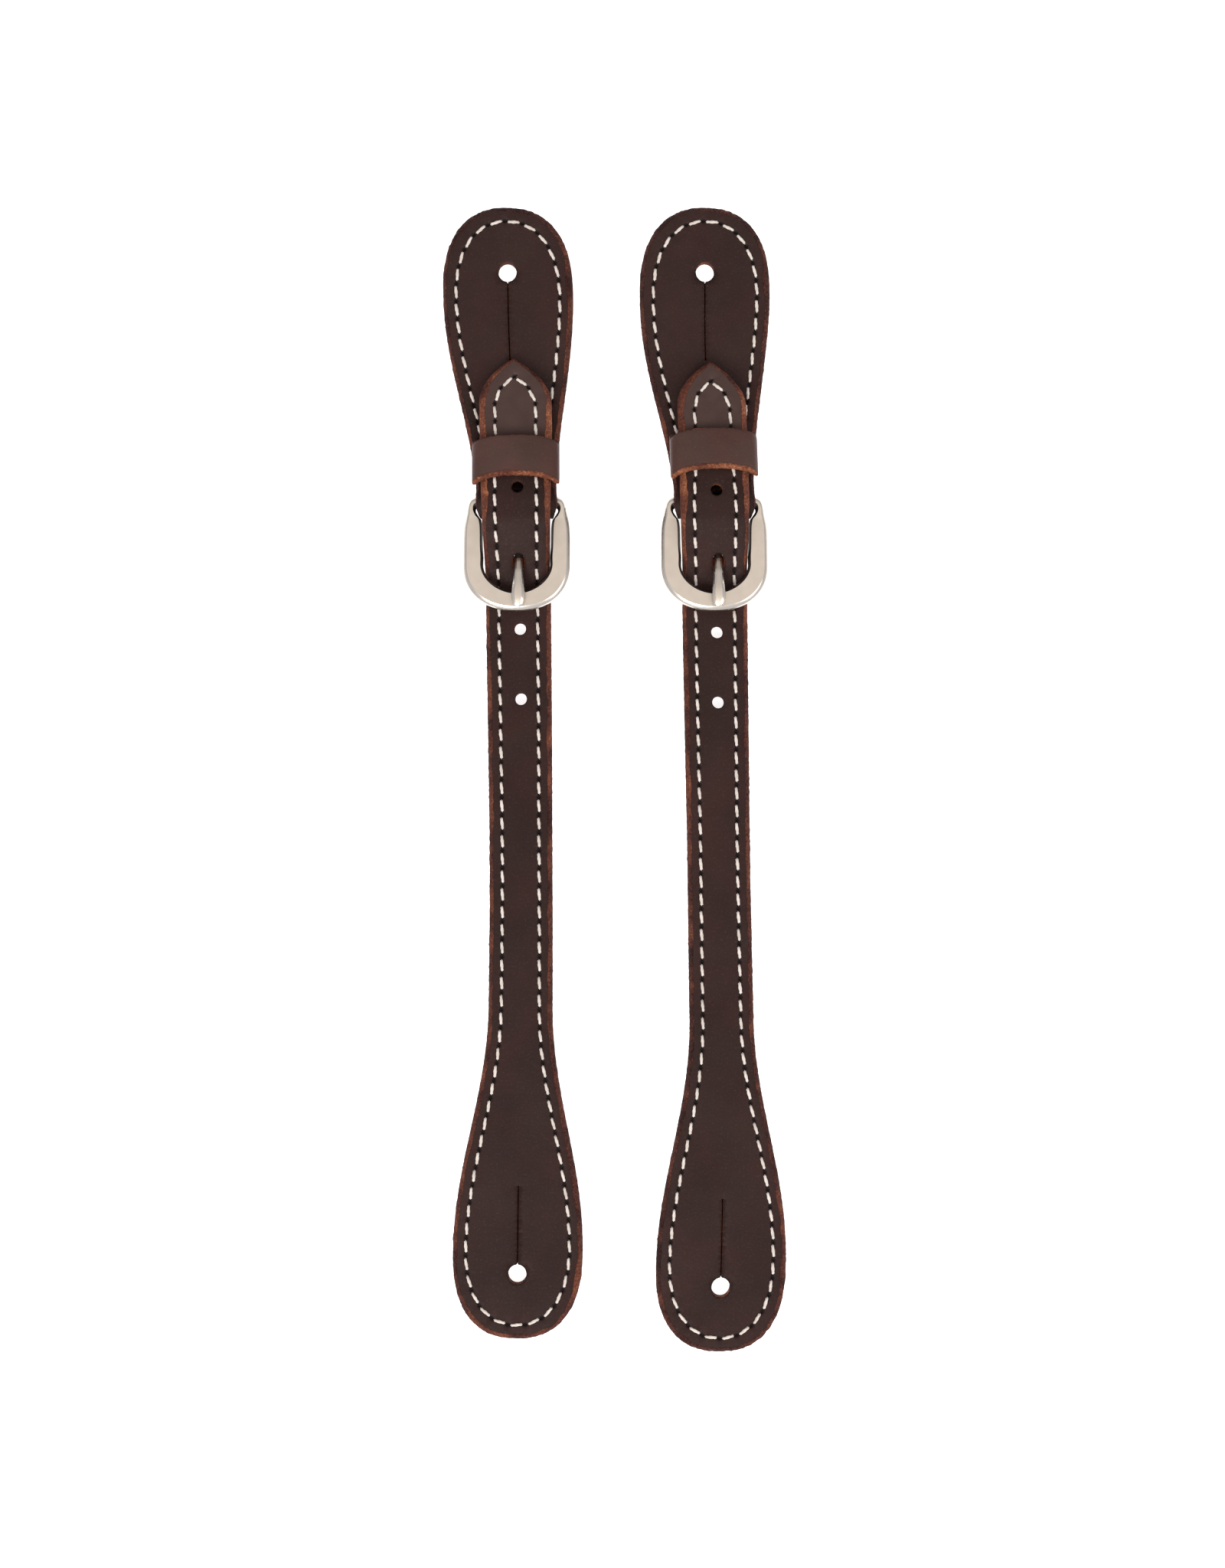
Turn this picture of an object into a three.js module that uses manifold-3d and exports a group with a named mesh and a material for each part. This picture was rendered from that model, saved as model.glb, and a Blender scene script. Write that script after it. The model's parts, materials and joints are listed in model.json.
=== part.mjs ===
// A pair of Western spur straps, buckled and lying flat. Millimetres, +Z up, +Y towards the buckles.
import * as THREE from 'three';
import { mergeVertices } from 'three/addons/utils/BufferGeometryUtils.js';
import Module from 'manifold-3d';

const wasm = await Module();
wasm.setup();

// ---- Driving dimensions -------------------------------------------------------------------------
const GAP = 0.3;                 // between pieces that touch

// The two straps of the pair: where the centre line lies, how far each billet reaches, how far its
// point has drifted across, and where the prong and the keeper have slid to.
const STRAPS = [
  {
    name: 'left', billetEnd: -137.5, tip: 103.2, buckleX: -23.9, holeShift: 0, tipShift: 1.0,
    prongShift: 0.5, keeperY: 78.1,
    lay: [[141, -26.6], [112, -26.0], [66, -23.95], [40, -23.6], [-30, -23.0], [-90, -23.5], [-138, -24.1]],
  },
  {
    name: 'right', billetEnd: -140.7, tip: 102.3, buckleX: 24.4, holeShift: -0.8, tipShift: 0.8,
    prongShift: 0.9, keeperY: 78.9,
    lay: [[141, 22.2], [112, 22.2], [66, 24.3], [40, 24.7], [-30, 25.8], [-90, 26.66], [-141, 25.66]],
  },
];

// Paddles: the wide ends that button onto the spur.
const PADDLE_HALF_WIDTH = 16;
const PADDLE_END_LENGTH = 21.2;  // from the round end to the widest place
const PADDLE_ROUNDNESS = 2.4;    // superellipse power of the round end
const BUTTON_HOLE_RADIUS = 2.35;
const BUTTON_HOLE_FROM_END = 16.1;
const SLIT_LENGTH = 19.4;
const SLIT_WIDTH = 0.7;
const SLIT_STOP_RADIUS = 0.75;   // the small punch at the slit's end
const SLIT_FROM_HOLE = 2.0;      // from the hole's centre, so the slit opens into the hole

// Leather.
const EDGE_BEVEL = 0.85;
const BILLET_THICKNESS = 3.0;
const BUCKLE_STRAP_END = 140.7;
const BUCKLE_STRAP_THICKNESS = 3.0;
const FOLD_THICKNESS = 2.2;      // skived where it bends round the heel bar
const NECK_HALF_WIDTH = 9.7;
const FOLD_HALF_WIDTH = 9.15;
const FOLD_BACK_END = 87;
const FOLD_BACK_END_THICKNESS = 0.8;
const TAPER_LENGTH = 60.9;       // billet paddle down to the strap
const NECK_TAPER_LENGTH = 53;    // buckle paddle down to the neck

// Billet: half-width and underside height against distance along the strap.
const BILLET_HALF_WIDTHS = [[-56, 7.9], [-18, 7.75], [12, 7.9], [42, 8.0], [50, 7.95], [60, 8.2], [71, 8.45],
  [84, 8.55], [92, 8.6], [104, 8.6]];
const BILLET_UNDERSIDE = [[-142, 0], [41, 0], [44, 0.25], [48, 1.35], [54, 4.3], [60, 7.2], [64, 8.4],
  [68, 8.38], [74, 7.5], [84, 6.03], [94, 4.57], [104, 3.3]];
const POINT_LENGTH = 11.8;
const POINT_POWER = 2.2;
const ADJUSTING_HOLES = [70.9, 37.0, 19.8];
const ADJUSTING_HOLE_RADIUS = 1.5;
const ADJUSTING_HOLE_ACROSS = 0.4;   // punched a little off centre
const TIP_DRIFT_START = 62;
const TIP_DRIFT_END = 100;
const PRONG_HOLE_HALF_WIDTH = 1.75;

// Top face of the buckle strap against distance along the strap.
const BUCKLE_STRAP_TOP = [[142, 3.0], [97, 3.0], [92, 3.25], [87, 4.0], [80, 5.03], [74, 5.9], [70, 7.25],
  [67.8, 7.8]];

// Buckle.
const HEEL_Y = 67.8;
const HEEL_Z = 3.9;
const HEEL_RADIUS = 1.4;
const FRAME_TILT = THREE.MathUtils.degToRad(6.7);
const FRAME_THICKNESS = 2.4;
const FRAME_BEVEL = 0.6;
const FRAME_HALF_WIDTH = 13.15;
const FRAME_INNER_HALF_WIDTH = 8.7;
const FRAME_ARM_LENGTH = 15.4;   // heel bar to where the front bar's curve starts
const FRAME_FRONT = 26.9;        // heel bar to the outside of the front bar
const FRONT_BAR_WIDTH = 4.2;
const PRONG_RING_RADIUS = 2.7;
const PRONG_RING_HALF_WIDTH = 1.7;
const PRONG_CENTRE = [[67.8, 4.2], [60, 4.9], [56, 5.5], [53.5, 6.1], [50.5, 7.15], [47.5, 8.3], [45, 8.95],
  [42, 9.25]];
const PRONG_HALF_WIDTHS = [[67.8, 1.5], [58, 1.25], [52, 0.98], [50, 1.05], [47, 1.45], [45, 1.68],
  [43.5, 1.35], [42, 0.4]];
const PRONG_HALF_HEIGHTS = [[67.8, 0.95], [52, 0.95], [46, 0.9], [43.5, 0.7], [42, 0.25]];
const SWING = THREE.MathUtils.degToRad(3.7);   // frame and prong together, as far as the billet lets them
const PRONG_SLOT_HALF_WIDTH = 2.15;
const PRONG_SLOT_START = 60;
const PRONG_SLOT_END = 71.0;

// Keeper.
const KEEPER_LENGTH = 10.0;
const KEEPER_HALF_WIDTH = 10.6;
const KEEPER_WALL = 1.65;
const KEEPER_RUN = 1.0;          // skived ends under the billet
const KEEPER_SLOPE = 0.147;

// Stitching.
const STITCH_INSET = 3.4;
const POINT_INSET = 3.9;
const THREAD_WIDTH = 0.9;
const THREAD_HEIGHT = 0.45;
const THREAD_DEPTH = 0.08;       // top of the thread below the leather's face
const CROSS_STITCH_Y = 75.4;     // where the buckle strap's stitch line crosses the neck

// ---- Helpers ------------------------------------------------------------------------------------
const Z_UP = new THREE.Vector3(0, 0, 1);
const X_RIGHT = new THREE.Vector3(1, 0, 0);
const CUTTER_LENGTH = 40;        // longer than any piece is thick

// Monotone cubic through points given as [position, value].
function monotone(points) {
  const sorted = [...points].sort((a, b) => a[0] - b[0]);
  const slopes = sorted.slice(1).map((p, i) => (p[1] - sorted[i][1]) / (p[0] - sorted[i][0]));
  const tangents = sorted.map((p, i) => {
    const before = slopes[Math.max(0, i - 1)];
    const after = slopes[Math.min(slopes.length - 1, i)];
    return before * after <= 0 ? 0 : 2 * before * after / (before + after);
  });
  return (at) => {
    const clamped = THREE.MathUtils.clamp(at, sorted[0][0], sorted.at(-1)[0]);
    let i = 0;
    while (i < slopes.length - 1 && clamped > sorted[i + 1][0]) i += 1;
    const span = sorted[i + 1][0] - sorted[i][0];
    const t = (clamped - sorted[i][0]) / span;
    const rise = t * t * (3 - 2 * t);
    return sorted[i][1] * (1 - rise) + sorted[i + 1][1] * rise
      + span * (t * (1 - t) ** 2 * tangents[i] - t * t * (1 - t) * tangents[i + 1]);
  };
}

// Closed body through rings of equal length; the ends are fans, or the last ring joins the first.
function loft(rings, closed = false) {
  const size = rings[0].length;
  const positions = rings.flat().flatMap((p) => [p.x, p.y, p.z]);
  const index = [];
  const bands = closed ? rings.length : rings.length - 1;
  for (let r = 0; r < bands; r += 1) {
    const here = r * size;
    const next = ((r + 1) % rings.length) * size;
    for (let k = 0; k < size; k += 1) {
      const l = (k + 1) % size;
      index.push(here + k, here + l, next + l, here + k, next + l, next + k);
    }
  }
  const last = (rings.length - 1) * size;
  for (let k = 1; !closed && k < size - 1; k += 1) {
    index.push(0, k + 1, k, last, last + k, last + k + 1);
  }
  const geometry = new THREE.BufferGeometry();
  geometry.setAttribute('position', new THREE.Float32BufferAttribute(positions, 3));
  geometry.setIndex(index);
  return facingOut(geometry);
}

function facingOut(geometry) {
  const p = geometry.attributes.position;
  const [a, b, c] = [new THREE.Vector3(), new THREE.Vector3(), new THREE.Vector3()];
  let volume = 0;
  for (let i = 0; i < geometry.index.count; i += 3) {
    a.fromBufferAttribute(p, geometry.index.getX(i));
    b.fromBufferAttribute(p, geometry.index.getX(i + 1));
    c.fromBufferAttribute(p, geometry.index.getX(i + 2));
    volume += a.dot(b.cross(c));
  }
  if (volume < 0) geometry.index.array.reverse();
  return geometry;
}

function toSolid(geometry) {
  const bare = geometry.clone();
  bare.deleteAttribute('normal');
  bare.deleteAttribute('uv');
  const merged = mergeVertices(bare, 1e-5);
  return new wasm.Manifold(new wasm.Mesh({
    numProp: 3,
    vertProperties: new Float32Array(merged.attributes.position.array),
    triVerts: new Uint32Array(merged.index.array),
  }));
}

function toGeometry(solid) {
  const mesh = solid.getMesh();
  const geometry = new THREE.BufferGeometry();
  geometry.setAttribute('position', new THREE.Float32BufferAttribute(mesh.vertProperties, 3));
  geometry.setIndex(new THREE.Uint32BufferAttribute(mesh.triVerts, 1));
  return geometry;
}

function cut(geometry, cutters) {
  return toGeometry(cutters.reduce((body, cutter) => body.subtract(toSolid(cutter)), toSolid(geometry)));
}

function uprightCylinder(radius, x, y, segments = 20) {
  return new THREE.CylinderGeometry(radius, radius, CUTTER_LENGTH, segments)
    .rotateX(Math.PI / 2).translate(x, y, 0);
}

// Centre line of the billet: the strap's, until its point drifts across beyond the buckle.
function billetLay(strap) {
  const lay = monotone(strap.lay);
  return (y) => lay(y) + strap.tipShift * THREE.MathUtils.smoothstep(y, TIP_DRIFT_START, TIP_DRIFT_END);
}

// Flat strap section with bevelled edges, as [across, through] pairs.
function strapSection(halfWidth, thickness) {
  const bevel = Math.min(EDGE_BEVEL, thickness * 0.3);
  const h = thickness / 2;
  const w = halfWidth;
  return [[bevel - w, -h], [w - bevel, -h], [w, bevel - h], [w, h - bevel],
    [w - bevel, h], [bevel - w, h], [-w, h - bevel], [-w, bevel - h]];
}

function placeSection(section, origin, across, through) {
  return section.map(([u, n]) => origin.clone().addScaledVector(across, u).addScaledVector(through, n));
}

// ---- Outlines -----------------------------------------------------------------------------------
// Each outline is a list of [distance along, half-width], from one end of the leather to the other.
const END_STEPS = [0.004, 0.02, 0.06, 0.13, 0.24, 0.4, 0.62, 1];

// A paddle from its round end inwards; direction is +1 where the leather runs towards +Y.
function paddleOutline(end, direction, taperLength, innerHalfWidth, taperSteps) {
  const rounded = END_STEPS.map((f) => [
    end + direction * f * PADDLE_END_LENGTH,
    PADDLE_HALF_WIDTH * (1 - (1 - f) ** PADDLE_ROUNDNESS) ** (1 / PADDLE_ROUNDNESS),
  ]);
  rounded[0][0] = end;
  const widest = end + direction * PADDLE_END_LENGTH;
  for (let i = 1; i <= taperSteps; i += 1) {
    const t = i / taperSteps;
    const wide = (1 + Math.cos(Math.PI * t)) / 2;
    rounded.push([widest + direction * t * taperLength,
      innerHalfWidth + (PADDLE_HALF_WIDTH - innerHalfWidth) * wide]);
  }
  return rounded;
}

function billetOutline(strap) {
  const halfWidth = monotone(BILLET_HALF_WIDTHS);
  const outline = paddleOutline(strap.billetEnd, 1, TAPER_LENGTH, halfWidth(-56), 9);
  for (const y of [-18, 12, 38, 42, 45, 47, 49, 51, 53, 55, 57, 59, 61, 63, 65, 67, 69, 74, 84]) {
    outline.push([y, halfWidth(y)]);
  }
  const shoulder = strap.tip - POINT_LENGTH;
  const full = halfWidth(shoulder);
  for (const f of [0, 0.2, 0.38, 0.54, 0.68, 0.8, 0.91, 0.98]) {
    outline.push([shoulder + f * POINT_LENGTH, full * (1 - f ** POINT_POWER)]);
  }
  return outline;
}

// Stitch line: the outline moved inwards, closed across both ends.
function stitchLoop(outline, firstY, lastY) {
  const side = [];
  for (let i = 0; i < outline.length; i += 1) {
    const [y0, w0] = outline[Math.max(0, i - 1)];
    const [y1, w1] = outline[Math.min(outline.length - 1, i + 1)];
    const along = new THREE.Vector2(y1 - y0, w1 - w0).normalize();
    const y = outline[i][0] + along.y * STITCH_INSET * Math.sign(along.x);
    const w = outline[i][1] - Math.abs(along.x) * STITCH_INSET;
    const inside = (y - firstY) * (lastY - y) > 0;
    const spaced = side.length === 0 || Math.hypot(y - side.at(-1)[0], w - side.at(-1)[1]) > 1.2;
    if (w > 0.8 && inside && spaced) side.push([y, w]);
  }
  return side;
}

function loopPoints(side, lay, ends) {
  const right = side.map(([y, w]) => [lay(y) + w, y]);
  const left = side.map(([y, w]) => [lay(y) - w, y]).reverse();
  const [first, last] = ends;
  return [...(first === null ? [] : [[lay(first), first]]), ...right,
    ...(last === null ? [] : [[lay(last), last]]), ...left];
}

// Closed bar of rectangular section along a loop in plan, at the given heights.
function barAlong(loop, width, lowAt, highAt) {
  const rings = loop.map(([x, y], i) => {
    const [px, py] = loop.at(i - 1);
    const [nx, ny] = loop[(i + 1) % loop.length];
    const before = new THREE.Vector2(x - px, y - py).normalize();
    const after = new THREE.Vector2(nx - x, ny - y).normalize();
    const along = before.clone().add(after).normalize();
    const mitre = width / 2 / Math.max(0.6, along.dot(after));
    const side = new THREE.Vector2(-along.y, along.x).multiplyScalar(mitre);
    return [[1, highAt(y)], [-1, highAt(y)], [-1, lowAt(y)], [1, lowAt(y)]]
      .map(([s, z]) => new THREE.Vector3(x + s * side.x, y + s * side.y, z));
  });
  return loft(rings, true);
}

// Thread and groove on one face; up is +1 on the top face and -1 on the underside.
function stitching(loop, face, up) {
  const at = (depth) => (y) => face(y) - up * depth;
  const band = (width, near, far) => barAlong(loop, width, at(up > 0 ? far : near), at(up > 0 ? near : far));
  return {
    thread: band(THREAD_WIDTH, THREAD_DEPTH, THREAD_DEPTH + THREAD_HEIGHT),
    groove: band(THREAD_WIDTH + 2 * GAP, -2, THREAD_DEPTH + THREAD_HEIGHT + GAP),
  };
}

// ---- Pieces -------------------------------------------------------------------------------------
function paddleCutters(x, end, direction) {
  const hole = end + direction * BUTTON_HOLE_FROM_END;
  const slitStart = hole + direction * SLIT_FROM_HOLE;
  const slitEnd = slitStart + direction * SLIT_LENGTH;
  const slit = new THREE.BoxGeometry(SLIT_WIDTH, SLIT_LENGTH, CUTTER_LENGTH)
    .rotateZ(-Math.atan2(x(slitEnd) - x(slitStart), slitEnd - slitStart))
    .translate((x(slitStart) + x(slitEnd)) / 2, (slitStart + slitEnd) / 2, 0);
  return [uprightCylinder(BUTTON_HOLE_RADIUS, x(hole), hole), slit,
    uprightCylinder(SLIT_STOP_RADIUS, x(slitEnd), slitEnd, 10)];
}

function makeBillet(strap) {
  const lay = billetLay(strap);
  const underside = monotone(BILLET_UNDERSIDE);
  const topFace = (y) => underside(y) + BILLET_THICKNESS;
  const outline = billetOutline(strap);
  const rings = outline.map(([y, halfWidth]) => placeSection(
    strapSection(halfWidth, BILLET_THICKNESS),
    new THREE.Vector3(lay(y), y, underside(y) + BILLET_THICKNESS / 2), X_RIGHT, Z_UP));
  const side = stitchLoop(outline, strap.billetEnd + STITCH_INSET, strap.tip - POINT_INSET - 0.9);
  const loop = loopPoints(side, lay, [strap.billetEnd + STITCH_INSET, strap.tip - POINT_INSET]);
  const needle = stitching(loop, topFace, 1);
  const bobbin = stitching(loop, underside, -1);
  const holes = ADJUSTING_HOLES.map((y) =>
    uprightCylinder(ADJUSTING_HOLE_RADIUS, lay(y) + ADJUSTING_HOLE_ACROSS, y + strap.holeShift, 16));
  const body = cut(loft(rings), [needle.groove, bobbin.groove, ...holes, prongClearance(strap),
    ...paddleCutters(lay, strap.billetEnd, 1)]);
  return { body, needle: needle.thread, bobbin: bobbin.thread };
}

// The space the prong sweeps through the billet, from rest to its highest.
function prongClearance(strap) {
  const centre = monotone(PRONG_CENTRE);
  const halfHeight = monotone(PRONG_HALF_HEIGHTS);
  const rings = [62, 59, 56, 53.5, 50.5, 48.5].map((y) => {
    const lift = (HEEL_Y - y) * Math.tan(SWING);
    const low = centre(y) - halfHeight(y) - GAP;
    const high = centre(y) + halfHeight(y) + lift + GAP;
    const w = PRONG_HOLE_HALF_WIDTH;
    const corner = 0.7;
    return [[-w, low], [w, low], [w, high - corner], [w - corner, high], [corner - w, high],
      [-w, high - corner]].map(([x, z]) => new THREE.Vector3(strap.buckleX + strap.prongShift + x, y, z));
  });
  return loft(rings);
}

function makeBuckleStrap(strap) {
  const lay = monotone(strap.lay);
  const topFace = monotone(BUCKLE_STRAP_TOP);
  const thickness = (y) => THREE.MathUtils.clamp(
    THREE.MathUtils.mapLinear(y, HEEL_Y, 97, FOLD_THICKNESS, BUCKLE_STRAP_THICKNESS),
    FOLD_THICKNESS, BUCKLE_STRAP_THICKNESS);
  const outline = paddleOutline(BUCKLE_STRAP_END, -1, NECK_TAPER_LENGTH, NECK_HALF_WIDTH, 14);
  const topPly = outline.filter(([y]) => y > HEEL_Y + 1);
  const rings = topPly.map(([y, halfWidth]) => placeSection(strapSection(halfWidth, thickness(y)),
    new THREE.Vector3(lay(y), y, topFace(y) - thickness(y) / 2), X_RIGHT, Z_UP));
  const bendRadius = HEEL_RADIUS + GAP + FOLD_THICKNESS / 2;
  const bendSteps = 8;
  for (let i = 0; i <= bendSteps; i += 1) {
    const angle = Math.PI / 2 + Math.PI * i / bendSteps;
    const radial = new THREE.Vector3(0, Math.cos(angle), Math.sin(angle));
    const origin = new THREE.Vector3(strap.buckleX, HEEL_Y, HEEL_Z).addScaledVector(radial, bendRadius);
    rings.push(placeSection(strapSection(FOLD_HALF_WIDTH, FOLD_THICKNESS), origin, X_RIGHT, radial));
  }
  const down = Z_UP.clone().negate();
  for (const y of [71, 79, FOLD_BACK_END]) {
    const t = Math.max(0, (y - 71) / (FOLD_BACK_END - 71));
    const ply = THREE.MathUtils.lerp(FOLD_THICKNESS, FOLD_BACK_END_THICKNESS, t);
    rings.push(placeSection(strapSection(FOLD_HALF_WIDTH, ply),
      new THREE.Vector3(lay(y), y, ply / 2), X_RIGHT, down));
  }
  const side = stitchLoop(outline, BUCKLE_STRAP_END - STITCH_INSET, CROSS_STITCH_Y);
  const neckSide = side.at(-1)[1];
  side.push([CROSS_STITCH_Y, neckSide - 0.1]);
  const loop = loopPoints(side, lay, [BUCKLE_STRAP_END - STITCH_INSET, null]);
  const needle = stitching(loop, topFace, 1);
  const bobbin = stitching(loop, () => 0, -1);
  const slotLength = PRONG_SLOT_END - PRONG_SLOT_START;
  const slot = new THREE.BoxGeometry(2 * PRONG_SLOT_HALF_WIDTH, slotLength, CUTTER_LENGTH)
    .translate(strap.buckleX + strap.prongShift, PRONG_SLOT_START + slotLength / 2, 0);
  const body = cut(loft(rings), [needle.groove, bobbin.groove, slot,
    ...paddleCutters(lay, BUCKLE_STRAP_END, -1)]);
  return { body, needle: needle.thread, bobbin: bobbin.thread };
}

function roundedRectangle(path, halfWidth, low, high, lowRadius, highRadius) {
  path.moveTo(lowRadius - halfWidth, low);
  path.lineTo(halfWidth - lowRadius, low);
  path.absarc(halfWidth - lowRadius, low + lowRadius, lowRadius, -Math.PI / 2, 0);
  path.lineTo(halfWidth, high - highRadius);
  path.absarc(halfWidth - highRadius, high - highRadius, highRadius, 0, Math.PI / 2);
  path.lineTo(highRadius - halfWidth, high);
  path.absarc(highRadius - halfWidth, high - highRadius, highRadius, Math.PI / 2, Math.PI);
  path.lineTo(-halfWidth, low + lowRadius);
  path.absarc(lowRadius - halfWidth, low + lowRadius, lowRadius, Math.PI, 1.5 * Math.PI);
  path.closePath();
  return path;
}

function makeKeeper(strap) {
  const inside = KEEPER_RUN + BILLET_THICKNESS + 2 * GAP;
  const outer = roundedRectangle(new THREE.Shape(), KEEPER_HALF_WIDTH, 0, inside + KEEPER_WALL, 1.4, 2.6);
  outer.holes.push(roundedRectangle(new THREE.Path(), KEEPER_HALF_WIDTH - KEEPER_WALL, KEEPER_RUN, inside,
    0.4, 0.9));
  const geometry = new THREE.ExtrudeGeometry(outer, {
    depth: KEEPER_LENGTH, bevelEnabled: false, curveSegments: 4,
  });
  const nearEnd = strap.keeperY - KEEPER_LENGTH / 2;
  const strapTop = monotone(BUCKLE_STRAP_TOP);
  const seat = GAP + Math.max(strapTop(strap.keeperY), strapTop(nearEnd) - KEEPER_SLOPE * KEEPER_LENGTH / 2);
  const lay = billetLay(strap);
  const turn = -Math.atan((lay(strap.keeperY + 5) - lay(strap.keeperY - 5)) / 10);
  return geometry.translate(0, 0, -KEEPER_LENGTH / 2).rotateX(Math.PI / 2)
    .rotateX(-Math.atan(KEEPER_SLOPE)).rotateZ(turn)
    .translate(lay(strap.keeperY), strap.keeperY, seat);
}

// Horseshoe plate in its own plane, heel bar at the origin and the front bar towards -Y.
function makeFrame() {
  const shape = new THREE.Shape();
  const armEnd = -FRAME_ARM_LENGTH;
  const outside = [[11.5, 1.1], [11.95, 0.2], [12.25, -1.6], [12.45, -3.2], [12.85, -5.2], [13.1, -7.2]];
  const inside = [[FRAME_INNER_HALF_WIDTH + 0.1, -8.2], [9.1, -5.4], [9.65, -3.2], [9.95, -1.6], [9.95, 1.1]];
  shape.moveTo(...outside[0]);
  outside.slice(1).forEach(([x, y]) => shape.lineTo(x, y));
  shape.absellipse(0, armEnd, FRAME_HALF_WIDTH, FRAME_FRONT + armEnd, 0, -Math.PI, true);
  [...outside].reverse().forEach(([x, y]) => shape.lineTo(-x, y));
  [...inside].reverse().forEach(([x, y]) => shape.lineTo(-x, y));
  shape.absellipse(0, armEnd, FRAME_INNER_HALF_WIDTH, FRAME_FRONT - FRONT_BAR_WIDTH + armEnd,
    -Math.PI, 0, false);
  inside.forEach(([x, y]) => shape.lineTo(x, y));
  shape.closePath();
  const plate = new THREE.ExtrudeGeometry(shape, {
    depth: FRAME_THICKNESS - 2 * FRAME_BEVEL, curveSegments: 12, bevelEnabled: true,
    bevelThickness: FRAME_BEVEL, bevelSize: FRAME_BEVEL, bevelOffset: -FRAME_BEVEL, bevelSegments: 1,
  }).translate(0, 0, FRAME_BEVEL - FRAME_THICKNESS / 2);
  const bar = new THREE.CylinderGeometry(HEEL_RADIUS, HEEL_RADIUS, 21.4, 20).rotateZ(Math.PI / 2);
  return toGeometry(toSolid(plate).add(toSolid(bar)));
}

function makeProng(strap) {
  const x0 = strap.buckleX + strap.prongShift;
  const centre = monotone(PRONG_CENTRE);
  const halfWidth = monotone(PRONG_HALF_WIDTHS);
  const halfHeight = monotone(PRONG_HALF_HEIGHTS);
  const rings = [66.4, 62, 58, 55, 53, 51, 49, 47, 45.6, 44.4, 43.2, 42.1].map((y) => {
    const w = halfWidth(y);
    const h = halfHeight(y);
    return [[-0.55 * w, -h], [0.55 * w, -h], [w, -0.35 * h], [w, 0.25 * h], [0.42 * w, h], [-0.42 * w, h],
      [-w, 0.25 * h], [-w, -0.35 * h]]
      .map(([x, z]) => new THREE.Vector3(x0 + x, y, centre(y) + z));
  });
  const ring = new THREE.CylinderGeometry(PRONG_RING_RADIUS, PRONG_RING_RADIUS, 2 * PRONG_RING_HALF_WIDTH, 20)
    .rotateZ(Math.PI / 2).translate(x0, HEEL_Y, HEEL_Z);
  const boreRadius = HEEL_RADIUS + 0.2;
  const bore = new THREE.CylinderGeometry(boreRadius, boreRadius, 20, 20)
    .rotateZ(Math.PI / 2).translate(x0, HEEL_Y, HEEL_Z);
  return toGeometry(toSolid(loft(rings)).add(toSolid(ring)).subtract(toSolid(bore)));
}

// ---- Assembly -----------------------------------------------------------------------------------
const FINISHES = {
  leather: { color: 0x46332c, roughness: 0.55, metalness: 0 },
  keeper: { color: 0x54413c, roughness: 0.5, metalness: 0 },
  thread: { color: 0xe6dcd2, roughness: 0.8, metalness: 0 },
  steel: { color: 0xcfc6bb, roughness: 0.35, metalness: 1 },
};

function named(name, geometry, finish) {
  geometry.computeVertexNormals();
  const mesh = new THREE.Mesh(geometry, new THREE.MeshStandardMaterial(FINISHES[finish]));
  mesh.name = name;
  return mesh;
}

function makeStrap(strap) {
  const group = new THREE.Group();
  const buckleStrap = makeBuckleStrap(strap);
  const billet = makeBillet(strap);
  group.add(named(`${strap.name}_buckle_strap`, buckleStrap.body, 'leather'));
  group.add(named(`${strap.name}_buckle_strap_needle_thread`, buckleStrap.needle, 'thread'));
  group.add(named(`${strap.name}_buckle_strap_bobbin_thread`, buckleStrap.bobbin, 'thread'));
  group.add(named(`${strap.name}_billet`, billet.body, 'leather'));
  group.add(named(`${strap.name}_billet_needle_thread`, billet.needle, 'thread'));
  group.add(named(`${strap.name}_billet_bobbin_thread`, billet.bobbin, 'thread'));
  group.add(named(`${strap.name}_keeper`, makeKeeper(strap), 'keeper'));
  const frame = named(`${strap.name}_buckle_frame`, makeFrame(), 'steel');
  frame.position.set(strap.buckleX, HEEL_Y, HEEL_Z);
  frame.rotation.x = -FRAME_TILT;
  group.add(frame);
  group.add(named(`${strap.name}_buckle_prong`, makeProng(strap), 'steel'));
  return group;
}

const pair = new THREE.Group();
STRAPS.forEach((strap) => pair.add(makeStrap(strap)));

export default pair;
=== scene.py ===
import json
import math

import bmesh
import bpy
import numpy as np
from mathutils import Matrix, Vector, noise
from mathutils.geometry import delaunay_2d_cdt


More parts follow.
